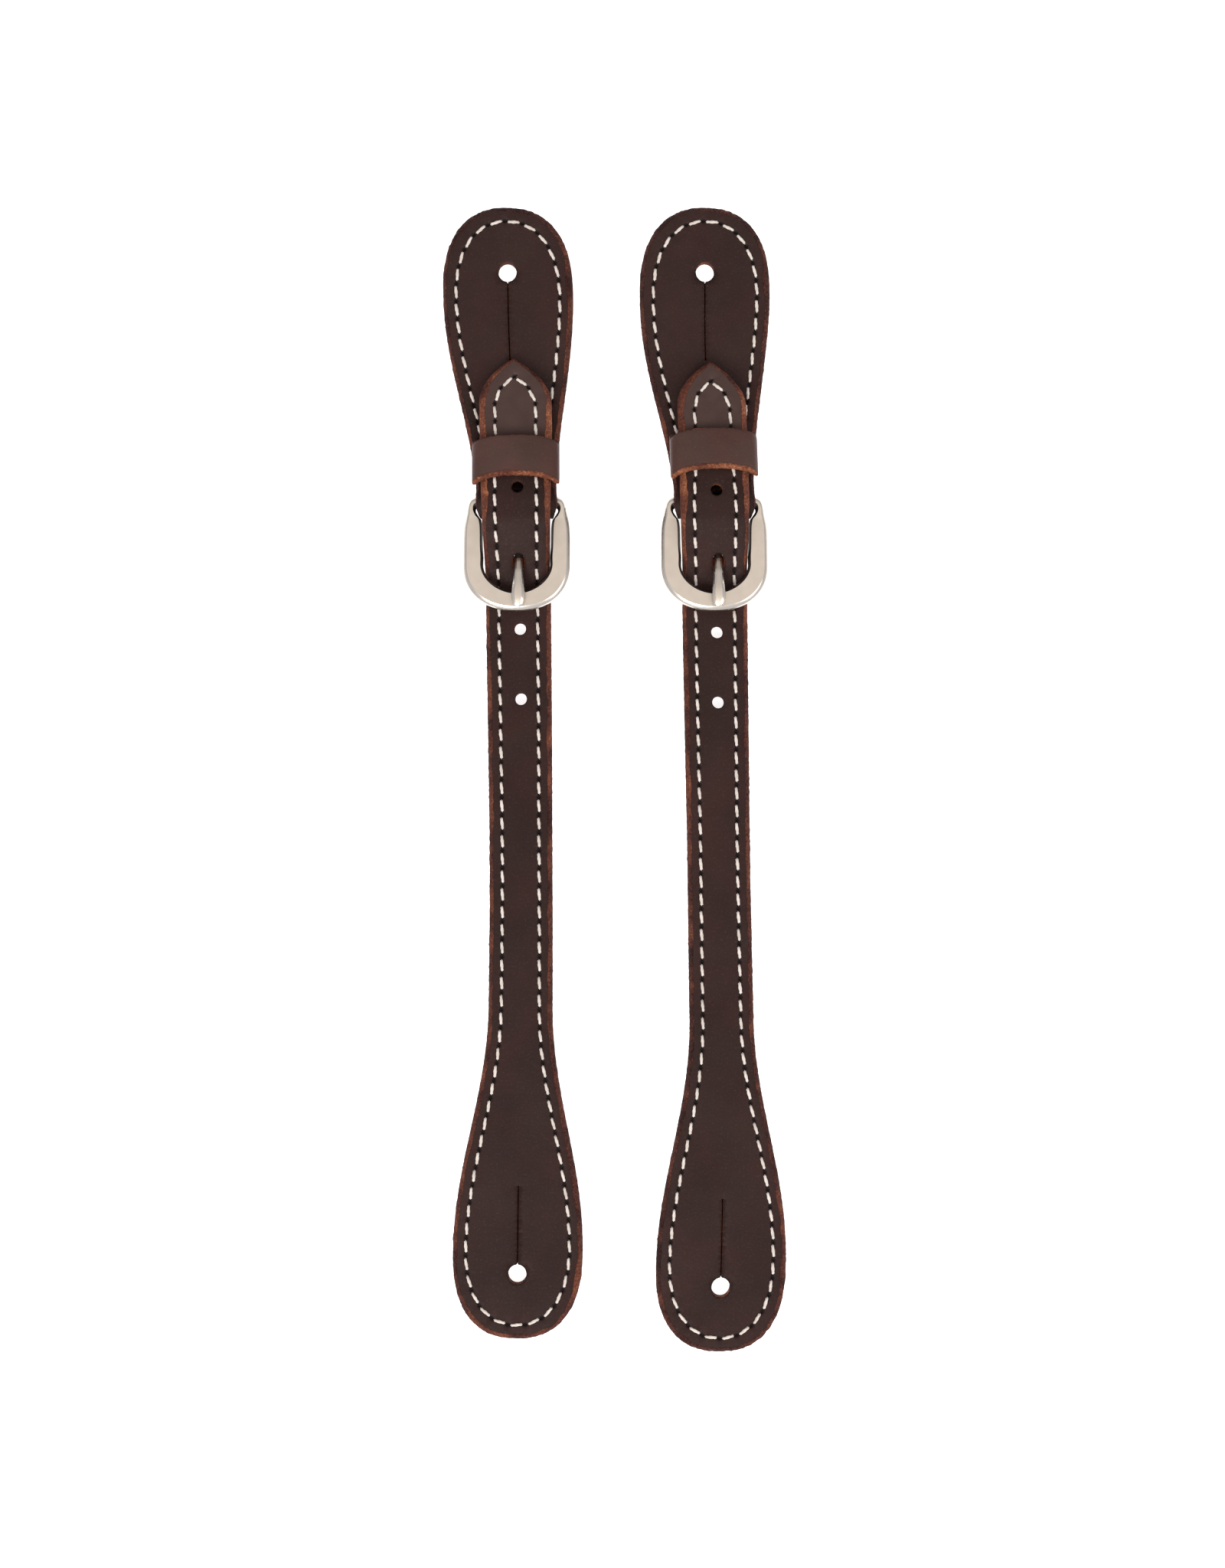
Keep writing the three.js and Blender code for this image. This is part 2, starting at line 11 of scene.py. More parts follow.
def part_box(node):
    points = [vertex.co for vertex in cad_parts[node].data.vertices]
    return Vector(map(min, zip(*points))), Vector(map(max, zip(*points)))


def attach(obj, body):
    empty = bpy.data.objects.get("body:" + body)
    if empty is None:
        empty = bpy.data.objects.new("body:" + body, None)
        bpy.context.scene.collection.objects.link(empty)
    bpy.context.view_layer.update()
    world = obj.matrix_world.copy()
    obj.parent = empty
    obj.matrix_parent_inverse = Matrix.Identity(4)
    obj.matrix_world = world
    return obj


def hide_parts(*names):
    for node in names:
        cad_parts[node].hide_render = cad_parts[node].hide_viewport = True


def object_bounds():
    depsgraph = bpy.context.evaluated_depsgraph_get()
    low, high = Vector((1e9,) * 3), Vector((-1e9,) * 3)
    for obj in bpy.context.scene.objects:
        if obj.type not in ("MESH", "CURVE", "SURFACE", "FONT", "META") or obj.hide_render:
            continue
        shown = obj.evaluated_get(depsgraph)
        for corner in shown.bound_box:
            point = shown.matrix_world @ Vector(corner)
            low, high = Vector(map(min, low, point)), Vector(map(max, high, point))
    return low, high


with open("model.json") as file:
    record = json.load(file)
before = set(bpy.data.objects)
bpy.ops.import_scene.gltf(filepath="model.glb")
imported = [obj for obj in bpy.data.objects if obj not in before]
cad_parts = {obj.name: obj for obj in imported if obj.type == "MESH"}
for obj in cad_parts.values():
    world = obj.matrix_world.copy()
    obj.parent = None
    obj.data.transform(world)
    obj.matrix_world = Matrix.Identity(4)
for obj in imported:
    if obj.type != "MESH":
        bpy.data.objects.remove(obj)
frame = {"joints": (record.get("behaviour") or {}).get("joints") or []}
cad_bounds = [list(corner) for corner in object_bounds()]

# A pair of Western spur straps, buckled and lying flat. Lengths are in millimetres and turn into
# metres where a mesh is made. +Y runs from the billet paddles to the buckle paddles, +Z is up.
MM = 0.001

# ---- Driving dimensions -------------------------------------------------------------------------
SIDES = ("left", "right")
LAY = {  # centre line: across against along
    "left": [(141, -26.6), (112, -26.0), (66, -23.95), (40, -23.6), (-30, -23.0), (-90, -23.5), (-138, -24.1)],
    "right": [(141, 22.2), (112, 22.2), (66, 24.3), (40, 24.7), (-30, 25.8), (-90, 26.66), (-141, 25.66)],
}
HOLE_SHIFT = {"left": 0.0, "right": -0.8}
TIP_DRIFT = {"left": 1.0, "right": 0.8}        # how far the billet's point has moved across
TIP_DRIFT_RANGE = (62, 100)
TIP_WIDTH = {"left": 1.03, "right": 0.98}
POINT_STITCH_INSET = {"left": 3.9, "right": 4.1}
POINT_MITRE = 1.08                 # how much faster an inset moves along the point's axis
POINT_STITCH_MITRE = 1.28

PADDLE_HALF_WIDTH = 16.0
PADDLE_END_LENGTH = 21.2
PADDLE_ROUNDNESS = 2.4
BUTTON_HOLE_RADIUS = 2.27
BUTTON_HOLE_STRETCH = 1.08         # the hole is a little longer than it is wide
BUTTON_HOLE_FROM_END = 16.1
SLIT_END_FROM_HOLE = 21.4
SLIT_HALF_WIDTH = 0.2
SLIT_STOP_RADIUS = 0.34
BILLET_TAPER = 60.9
NECK_TAPER = 53.0

BILLET_THICKNESS = 3.0
BILLET_HALF_WIDTHS = [(-56, 7.9), (-18, 7.75), (12, 7.9), (42, 8.0), (50, 7.95), (60, 8.2), (71, 8.45),
                      (84, 8.55), (92, 8.6), (104, 8.6)]
BILLET_UNDERSIDE = [(-142, 0), (41, 0), (44, 0.25), (48, 1.35), (54, 4.3), (60, 7.2), (64, 8.4), (68, 8.38),
                    (74, 7.5), (84, 6.03), (94, 4.57), (104, 3.3)]
POINT_LENGTH = 11.8
POINT_POWER = 2.2
ADJUSTING_HOLES = (70.9, 37.0, 19.8)
ADJUSTING_HOLE_RADIUS = 1.45
ADJUSTING_HOLE_ACROSS = 0.4
PRONG_HOLE = (52.7, 2.2, 1.68)     # along, half-length, half-width on the top face
PRONG_HOLE_SLANT = 3.5             # how much higher up the strap it comes out underneath
PRONG_HOLE_PINCH = 0.34            # how far its sides close in on the prong underneath

NECK_HALF_WIDTH = 9.7
FOLD_HALF_WIDTH = 9.1
FOLD_HALF_WIDTHS = [(55, 9.1), (62, 9.1), (63.2, 9.1), (64.2, 9.22), (65.3, 9.5), (66.8, 9.9), (70, 9.9)]
FOLD_THICKNESS = 2.2
STRAP_THICKNESS = 3.0
FOLD_END = 87.0
FOLD_END_THICKNESS = 0.8
STRAP_TOP = [(142, 3.0), (97, 3.0), (92, 3.25), (87, 4.0), (80, 5.03), (74, 5.9), (70, 7.25), (67.8, 7.8)]
PRONG_SLOT_HALF_WIDTH = 2.15
PRONG_SLOT_END = 70.6

HEEL_RADIUS = 1.4
FRAME_TILT = math.radians(6.7)
KEEPER_LENGTH = 10.0
KEEPER_HALF_WIDTH = 10.6
KEEPER_WALL = 1.65
KEEPER_RUN = 1.0
KEEPER_SLOPE = 0.147
GAP = 0.3

STITCH_INSET = 3.25
STITCH_PITCH = 4.35
STITCH_LENGTH = 2.95
STITCH_HALF_WIDTH = 0.37
STITCH_SLANT = math.radians(6)
CROSS_STITCH_Y = 75.4


# ---- Helpers ------------------------------------------------------------------------------------
def monotone(points):
    """Monotone cubic through (position, value) pairs."""
    points = sorted(points)
    slopes = [(b[1] - a[1]) / (b[0] - a[0]) for a, b in zip(points, points[1:])]
    tangents = []
    for i in range(len(points)):
        before, after = slopes[max(0, i - 1)], slopes[min(len(slopes) - 1, i)]
        tangents.append(0.0 if before * after <= 0 else 2 * before * after / (before + after))

    def value(at):
        at = min(max(at, points[0][0]), points[-1][0])
        i = 0
        while i < len(slopes) - 1 and at > points[i + 1][0]:
            i += 1
        span = points[i + 1][0] - points[i][0]
        t = (at - points[i][0]) / span
        rise = t * t * (3 - 2 * t)
        return (points[i][1] * (1 - rise) + points[i + 1][1] * rise
                + span * (t * (1 - t) ** 2 * tangents[i] - t * t * (1 - t) * tangents[i + 1]))
    return value


def clamp(value, low, high):
    return min(max(value, low), high)


def lerp(a, b, t):
    return a + (b - a) * t


def smoothstep(low, high, value):
    t = clamp((value - low) / (high - low), 0.0, 1.0)
    return t * t * (3 - 2 * t)


def hinge_at(side):
    """Heel bar of the buckle, in millimetres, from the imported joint."""
    joint = next(j for j in frame["joints"] if j["name"] == f"{side}_buckle_hinge")
    return Vector(joint["pos_m"]) / MM


def prong_across(side):
    """Middle of the prong, in millimetres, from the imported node."""
    low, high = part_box(f"{side}_buckle_prong")
    return (low.x + high.x) / 2 / MM


def wobble(point, size, seed=0.0):
    """Smooth noise from -1 to 1 with features of the given size."""
    return noise.noise(Vector((point[0] / size, point[1] / size, point[2] / size + seed)))


def inside(points, polygon):
    """Which points lie inside a closed polygon."""
    points = np.asarray(points, float)
    polygon = np.asarray(polygon, float)
    result = np.zeros(len(points), bool)
    for (x0, y0), (x1, y1) in zip(polygon, np.roll(polygon, -1, axis=0)):
        if y0 == y1:
            continue
        crosses = (points[:, 1] > y0) != (points[:, 1] > y1)
        at = x0 + (points[:, 1] - y0) * (x1 - x0) / (y1 - y0)
        result ^= crosses & (points[:, 0] < at)
    return result


def resample(line, count):
    """Equal steps along a closed line; each entry is (point, direction)."""
    line = [Vector(p) for p in line]
    closed = line + [line[0]]
    lengths = [(b - a).length for a, b in zip(closed, closed[1:])]
    step = sum(lengths) / count
    out, i, done = [], 0, 0.0
    for k in range(count):
        target = k * step
        while i < len(lengths) - 1 and done + lengths[i] < target:
            done += lengths[i]
            i += 1
        t = (target - done) / lengths[i]
        out.append((closed[i].lerp(closed[i + 1], t), (closed[i + 1] - closed[i]).normalized()))
    return out


class Piece:
    """Vertices with named per-vertex values, and faces."""

    def __init__(self, *channels):
        self.points = []
        self.faces = []
        self.face_material = []
        self.channels = {name: [] for name in channels}

    def add(self, point, **values):
        self.points.append(point)
        for name, column in self.channels.items():
            column.append(values.get(name, 0.0))
        return len(self.points) - 1

    def face(self, *corners, material=0):
        self.faces.append(corners)
        self.face_material.append(material)

    def band(self, upper, lower, flip=False, material=0):
        """Quads between two closed loops of vertices."""
        for i in range(len(upper)):
            j = (i + 1) % len(upper)
            quad = (upper[i], lower[i], lower[j], upper[j])
            self.face(*(reversed(quad) if flip else quad), material=material)

    def build(self, name, body, slot, materials, replaced, crease=None):
        mesh = bpy.data.meshes.new(name)
        mesh.from_pydata([tuple(c * MM for c in p) for p in self.points], [], self.faces)
        for channel, values in self.channels.items():
            mesh.attributes.new(channel, "FLOAT", "POINT").data.foreach_set("value", values)
        for material in materials:
            mesh.materials.append(material)
        mesh.polygons.foreach_set("material_index", self.face_material)
        mesh.polygons.foreach_set("use_smooth", [True] * len(self.faces))
        tidy = bmesh.new()
        tidy.from_mesh(mesh)
        bmesh.ops.recalc_face_normals(tidy, faces=tidy.faces)
        tidy.to_mesh(mesh)
        tidy.free()
        if crease is not None:
            mesh.set_sharp_from_angle(angle=crease)
        piece = bpy.data.objects.new(name, mesh)
        bpy.context.scene.collection.objects.link(piece)
        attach(piece, body)
        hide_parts(*replaced)
        return piece


# ---- Materials ----------------------------------------------------------------------------------
class Shader:
    """A Principled material with a few short ways to add nodes."""

    def __init__(self, name, **constants):
        self.material = bpy.data.materials.new(name)
        self.material.use_nodes = True
        self.tree = self.material.node_tree
        self.bsdf = self.tree.nodes["Principled BSDF"]
        for socket, value in constants.items():
            self.bsdf.inputs[socket.replace("_", " ")].default_value = value
        self.place = self.tree.nodes.new("ShaderNodeTexCoord").outputs["Object"]

    def plug(self, value, socket):
        if isinstance(value, bpy.types.NodeSocket):
            self.tree.links.new(value, socket)
        else:
            socket.default_value = value

    def stretched(self, scale):
        node = self.tree.nodes.new("ShaderNodeMapping")
        node.inputs["Scale"].default_value = scale
        self.plug(self.place, node.inputs["Vector"])
        return node.outputs["Vector"]

    def noise(self, size_mm, detail=2.0, roughness=0.5, vector=None, distortion=0.0):
        node = self.tree.nodes.new("ShaderNodeTexNoise")
        node.inputs["Scale"].default_value = 1 / (size_mm * MM)
        node.inputs["Detail"].default_value = detail
        node.inputs["Roughness"].default_value = roughness
        node.inputs["Distortion"].default_value = distortion
        self.plug(vector or self.place, node.inputs["Vector"])
        return node.outputs["Fac"]

    def cells(self, size_mm, feature="F1"):
        node = self.tree.nodes.new("ShaderNodeTexVoronoi")
        node.feature = feature
        node.inputs["Scale"].default_value = 1 / (size_mm * MM)
        self.plug(self.place, node.inputs["Vector"])
        return node.outputs["Distance"]

    def channel(self, name):
        node = self.tree.nodes.new("ShaderNodeAttribute")
        node.attribute_name = name
        return node.outputs["Fac"]

    def ramp(self, value, *stops):
        node = self.tree.nodes.new("ShaderNodeValToRGB")
        elements = node.color_ramp.elements
        while len(elements) < len(stops):
            elements.new(0.5)
        for element, (at, colour) in zip(elements, stops):
            element.position = at
            element.color = (*colour, 1.0) if isinstance(colour, tuple) else (colour, colour, colour, 1.0)
        self.plug(value, node.inputs["Fac"])
        return node.outputs["Color"]

    def maths(self, operation, a, b=0.0, c=None, limit=False):
        node = self.tree.nodes.new("ShaderNodeMath")
        node.operation = operation
        node.use_clamp = limit
        self.plug(a, node.inputs[0])
        self.plug(b, node.inputs[1])
        if c is not None:
            self.plug(c, node.inputs[2])
        return node.outputs["Value"]

    def mix(self, factor, a, b, blend="MIX"):
        node = self.tree.nodes.new("ShaderNodeMix")
        node.data_type = "RGBA"
        node.blend_type = blend
        sockets = [s for s in node.inputs if s.type == "RGBA"]
        self.plug(factor, node.inputs["Factor"])
        for value, socket in zip((a, b), sockets):
            self.plug((*value, 1.0) if isinstance(value, tuple) and len(value) == 3 else value, socket)
        return next(s for s in node.outputs if s.type == "RGBA")

    def bump(self, *layers):
        """Each layer is (height, depth in mm)."""
        normal = None
        for height, depth_mm in layers:
            node = self.tree.nodes.new("ShaderNodeBump")
            node.inputs["Strength"].default_value = 1.0
            node.inputs["Distance"].default_value = depth_mm * MM
            self.plug(height, node.inputs["Height"])
            if normal is not None:
                self.plug(normal, node.inputs["Normal"])
            normal = node.outputs["Normal"]
        self.plug(normal, self.bsdf.inputs["Normal"])

    def finish(self, colour, roughness):
        self.plug(colour, self.bsdf.inputs["Base Color"])
        self.plug(roughness, self.bsdf.inputs["Roughness"])
        return self.material


def leather_material(name, dark, light, roughness):
    """Oiled harness leather: grain, raw cut edges, suede underside and painted shade in the needle holes, by channel.
    """
    s = Shader(name, Specular_IOR_Level=0.1, Sheen_Weight=0.0)
    raw, orange, flesh, pit_and_shade = (s.channel(c) for c in ("raw", "orange", "flesh", "pit_and_shade"))
    blotch = s.noise(16, 3.0, 0.55)
    grain = s.mix(s.ramp(blotch, (0.32, 0.0), (0.72, 1.0)), dark, light)
    tint = s.ramp(s.noise(9, 2.0), (0.38, (0.93, 1.05, 0.98)), (0.66, (1.12, 0.95, 0.93)))
    grain = s.mix(0.6, grain, tint, "MULTIPLY")
    specks = s.ramp(s.noise(0.5, 2.0, 0.6), (0.56, 0.0), (0.74, 1.0))
    grain = s.mix(s.maths("MULTIPLY", specks, 0.13), grain, (0.13, 0.095, 0.08))
    rubbed = s.maths("MULTIPLY", s.channel("rubbed"), s.ramp(s.noise(4, 3.0), (0.3, 0.75), (0.7, 1.0)))
    grain = s.mix(rubbed, grain, (0.066, 0.0385, 0.033))

    fibre = s.noise(0.55, 5.0, 0.72, distortion=0.4)
    patch = s.maths("MULTIPLY_ADD", s.noise(6.0, 3.0), 0.8, -0.42)
    bright = s.maths("ADD", s.maths("MULTIPLY_ADD", orange, 0.3, fibre), patch)
    cut = s.ramp(bright, (0.36, (0.024, 0.0085, 0.0075)), (0.54, (0.072, 0.023, 0.017)),
                 (0.76, (0.175, 0.055, 0.03)), (1.0, (0.42, 0.16, 0.075)))
    ragged = s.maths("MULTIPLY_ADD", s.noise(0.8, 4.0, 0.7), 0.9, s.maths("MULTIPLY_ADD", raw, 1.3, -0.6))
    edge_mask = s.ramp(ragged, (0.38, 0.0), (0.56, 1.0))
    suede = s.ramp(s.noise(1.1, 6.0, 0.75), (0.3, (0.07, 0.036, 0.022)), (0.72, (0.17, 0.09, 0.055)))
    colour = s.mix(edge_mask, grain, cut)
    colour = s.mix(flesh, colour, suede)
    # painted shade: needle pits are darkened to near black in the colour
    colour = s.mix(pit_and_shade, colour, (0.004, 0.003, 0.003))

    rough_mask = s.maths("MAXIMUM", edge_mask, flesh)
    sheen = s.maths("MULTIPLY_ADD", blotch, -0.16, roughness + 0.08)
    rough = s.maths("MULTIPLY_ADD", rough_mask, 0.35, sheen, limit=True)
    creases = s.ramp(s.noise(0.9, 3.0, 0.6, s.stretched((0.16, 1.0, 1.0)), 0.5), (0.46, 0.0), (0.5, 1.0), (0.54, 0.0))
    pores = s.cells(0.42)
    s.bump((creases, -0.014), (pores, 0.02), (s.noise(0.16, 3.0, 0.6), 0.012),
           (s.maths("MULTIPLY", s.noise(0.32, 6.0, 0.75), rough_mask), 0.34))
    return s.finish(colour, rough)


def thread_material():
    s = Shader("waxed_thread", Specular_IOR_Level=0.25)
    dirt = s.ramp(s.noise(2.4, 3.0), (0.3, (0.5, 0.43, 0.38)), (0.62, (0.66, 0.58, 0.53)))
    s.bump((s.noise(0.12, 3.0), 0.05))
    return s.finish(dirt, 0.72)


def metal_material(name, colour, roughness, scratch_mm):
    s = Shader(name, Metallic=1.0)
    cloud = s.noise(3.0, 3.0)
    tone = s.mix(s.ramp(cloud, (0.3, 0.0), (0.7, 1.0)), tuple(c * 0.94 for c in colour), colour)
    brushed = s.noise(0.25, 3.0, 0.6, s.stretched((1.0, 0.12, 1.0)))
    s.bump((brushed, scratch_mm))
    return s.finish(tone, s.maths("MULTIPLY_ADD", cloud, 0.1, roughness))


STRAP_LEATHER = leather_material("strap_leather", (0.02, 0.0085, 0.007), (0.0285, 0.0125, 0.0105), 0.5)
KEEPER_LEATHER = leather_material("keeper_leather", (0.054, 0.026, 0.0215), (0.074, 0.037, 0.0315), 0.44)
THREAD = thread_material()
SATIN = metal_material("satin_steel", (0.72, 0.615, 0.515), 0.34, 0.008)
POLISHED = metal_material("polished_steel", (0.62, 0.57, 0.52), 0.2, 0.003)
# painted shade: a dark steel standing in for shade on the frame's inner wall and the prong's shank and loop
PAINTED_SHADE_STEEL = metal_material("steel_painted_shade", (0.11, 0.09, 0.08), 0.45, 0.01)


# ---- Leather sheets -----------------------------------------------------------------------------
# A sheet is cut flat in (across, along), then placed: through is 0 on the grain face, 1 underneath.
EDGE_PROFILE = [(0.9, 0.012), (0.74, 0.05), (0.54, 0.13), (0.33, 0.24), (0.14, 0.39), (0.02, 0.56),
                (0.0, 0.74), (0.05, 0.88), (0.22, 0.97), (0.5, 1.0)]   # (share of the band, through)
WALL_LEVELS = (0.1, 0.36, 0.64, 0.9)
EDGE_STEP = 0.55
GRID_STEP = 1.5


def round_end(length, half_width, power, inset, share):
    """A round end from its tip (share 0) to its widest place (share 1): (along, half-width)."""
    angle = share * math.pi / 2
    return (inset + (length - inset) * (1 - math.cos(angle) ** (2 / power)),
            (half_width - inset) * math.sin(angle) ** (2 / power))


def end_stitch_inset(station):
    """The stitch line keeps a little further from the edge round a paddle's end."""
    kind, share = station
    return STITCH_INSET + (0.35 * (1 - share) + 0.45 * math.sin(math.pi * share) if kind == "end" else 0)


def taper(share, wide, narrow):
    return narrow + (wide - narrow) * (1 + math.cos(math.pi * clamp(share, 0, 1))) / 2


class Strap:
    """What billet and buckle strap share: stations along one side, from end to end."""

    END_STATIONS = 46

    def __init__(self, side):
        self.side = side
        self.sign = -1 if side == "left" else 1
        self.strap_lay = monotone(LAY[side])
        self.stations = []

    def lay(self, along):
        return self.strap_lay(along)

    def loop(self):
        """All stations round the sheet: (station, side of the centre line)."""
        forward = [(s, 1) for s in self.stations]
        return forward + [(s, -1) for s in reversed(self.stations[1:-1])]

    def edge(self, station, hand, inset):
        along, half = self.half_width(station, inset)
        return Vector((hand * half, along))

    def slit_squeeze(self, across, along, through):
        """The slit closes up towards the underside, as a knife cut does."""
        hole, direction = self.button_hole()
        beyond = (along - hole) * direction
        in_slit = BUTTON_HOLE_RADIUS * BUTTON_HOLE_STRETCH * 0.98 < beyond < SLIT_END_FROM_HOLE + 2
        if in_slit and abs(across) <= SLIT_STOP_RADIUS + 0.01:
            return across * (1 - 0.93 * clamp(through * 1.6, 0, 1))
        return across


class Billet(Strap):
    def __init__(self, side):
        super().__init__(side)
        low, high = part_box(f"{side}_billet")
        self.end = low.y / MM
        self.tip = high.y / MM + 0.02 * POINT_LENGTH
        self.prong_offset = prong_across(side) - self.strap_lay(PRONG_HOLE[0])
        self.shoulder = self.tip - POINT_LENGTH
        self.width = monotone(BILLET_HALF_WIDTHS)
        self.under = monotone(BILLET_UNDERSIDE)
        straight = round((self.shoulder - self.end - PADDLE_END_LENGTH) / EDGE_STEP)
        self.stations = [("end", i / self.END_STATIONS) for i in range(self.END_STATIONS)]
        self.stations += [("side", i / straight) for i in range(straight)]
        self.stations += [("point", i / 20) for i in range(21)]

    def lay(self, along):
        return self.strap_lay(along) + TIP_DRIFT[self.side] * smoothstep(*TIP_DRIFT_RANGE, along)

    def half_width(self, station, inset, mitre=POINT_MITRE):
        kind, share = station
        widest = self.end + PADDLE_END_LENGTH
        if kind == "end":
            along, half = round_end(PADDLE_END_LENGTH, PADDLE_HALF_WIDTH, PADDLE_ROUNDNESS, inset, share)
            return self.end + along, half
        if kind == "side":
            along = lerp(widest, self.shoulder, share)
            paddle = taper((along - widest) / BILLET_TAPER, PADDLE_HALF_WIDTH, self.width(-56))
            trim = lerp(1, TIP_WIDTH[self.side], smoothstep(66, 80, along))
            return along, (paddle if along < widest + BILLET_TAPER else self.width(along) * trim) - inset
        full = self.width(self.shoulder) * TIP_WIDTH[self.side]
        return (self.shoulder + share * (POINT_LENGTH - mitre * inset),
                (full - inset) * (1 - share ** POINT_POWER))

    def button_hole(self):
        return self.end + BUTTON_HOLE_FROM_END, 1

    def place(self, across, along, through):
        across = self.slit_squeeze(across, along, through)
        _, half_length, _ = PRONG_HOLE
        centre = PRONG_HOLE[0]
        aside = across - self.prong_offset
        near = math.exp(-((along - centre) / (3 * half_length)) ** 2 - (aside / 4) ** 2)
        along = along + PRONG_HOLE_SLANT * near * through
        across -= aside * PRONG_HOLE_PINCH * near * through
        return Vector((self.lay(along) + across, along, self.under(along) + BILLET_THICKNESS * (1 - through)))

    def thickness(self, along):
        return BILLET_THICKNESS

    def band(self, hand, along):
        table = {
            -1: [(-141, 1.4), (-100, 1.15), (-40, 1.15), (30, 1.25), (45, 1.0), (62, 1.2), (70, 1.8),
                 (92, 1.8), (104, 1.3)],
            1: [(-141, 1.5), (-100, 1.35), (-40, 1.2), (30, 1.2), (45, 1.0), (62, 1.1), (70, 1.7),
                (84, 1.5), (104, 1.0)],
        }
        return monotone(table[hand])(along)

    def orange(self, hand, along):
        at_end = 0.3 if self.side == "left" else 0.05
        return monotone([(-141, at_end), (-90, at_end), (0, 0.3), (45, 0.4), (60, 0.6), (70, 1.0), (88, 0.9),
                         (97, 0.35), (104, 0.25)])(along)

    def rawness(self, along):
        """How far the cut edge has kept its raw colour; the right paddle's is dressed darker."""
        return 1.0 if self.side == "left" else lerp(0.78, 1, smoothstep(-90, -50, along))

    def rubbing(self, along):
        """The point is handled most, so its grain is paler."""
        return 0.9 * smoothstep(80, 87, along)

    def creasing(self, along):
        return 0.03 + 0.14 * smoothstep(46, 50, along) * (1 - smoothstep(66, 72, along))

    def stitch_line(self):
        loop = self.loop()
        start = next(i for i, (s, _) in enumerate(loop) if s == self.stations[-1])
        line = []
        for station, hand in loop[start:] + loop[:start]:
            near_point = smoothstep(62, 84, self.edge(station, hand, 0).y)
            inset = lerp(end_stitch_inset(station), POINT_STITCH_INSET[self.side], near_point)
            half_width, along = self.half_width(station, inset, POINT_STITCH_MITRE)[::-1]
            line.append(Vector((hand * half_width, along)))
        return line

    def holes(self):
        centre, half_length, half_width = PRONG_HOLE
        shift = HOLE_SHIFT[self.side]
        holes = [circle(ADJUSTING_HOLE_ACROSS, y + shift, ADJUSTING_HOLE_RADIUS) for y in ADJUSTING_HOLES]
        holes.append(circle(self.prong_offset, centre, half_width, half_length))
        holes.append(keyhole(*self.button_hole()))
        return holes


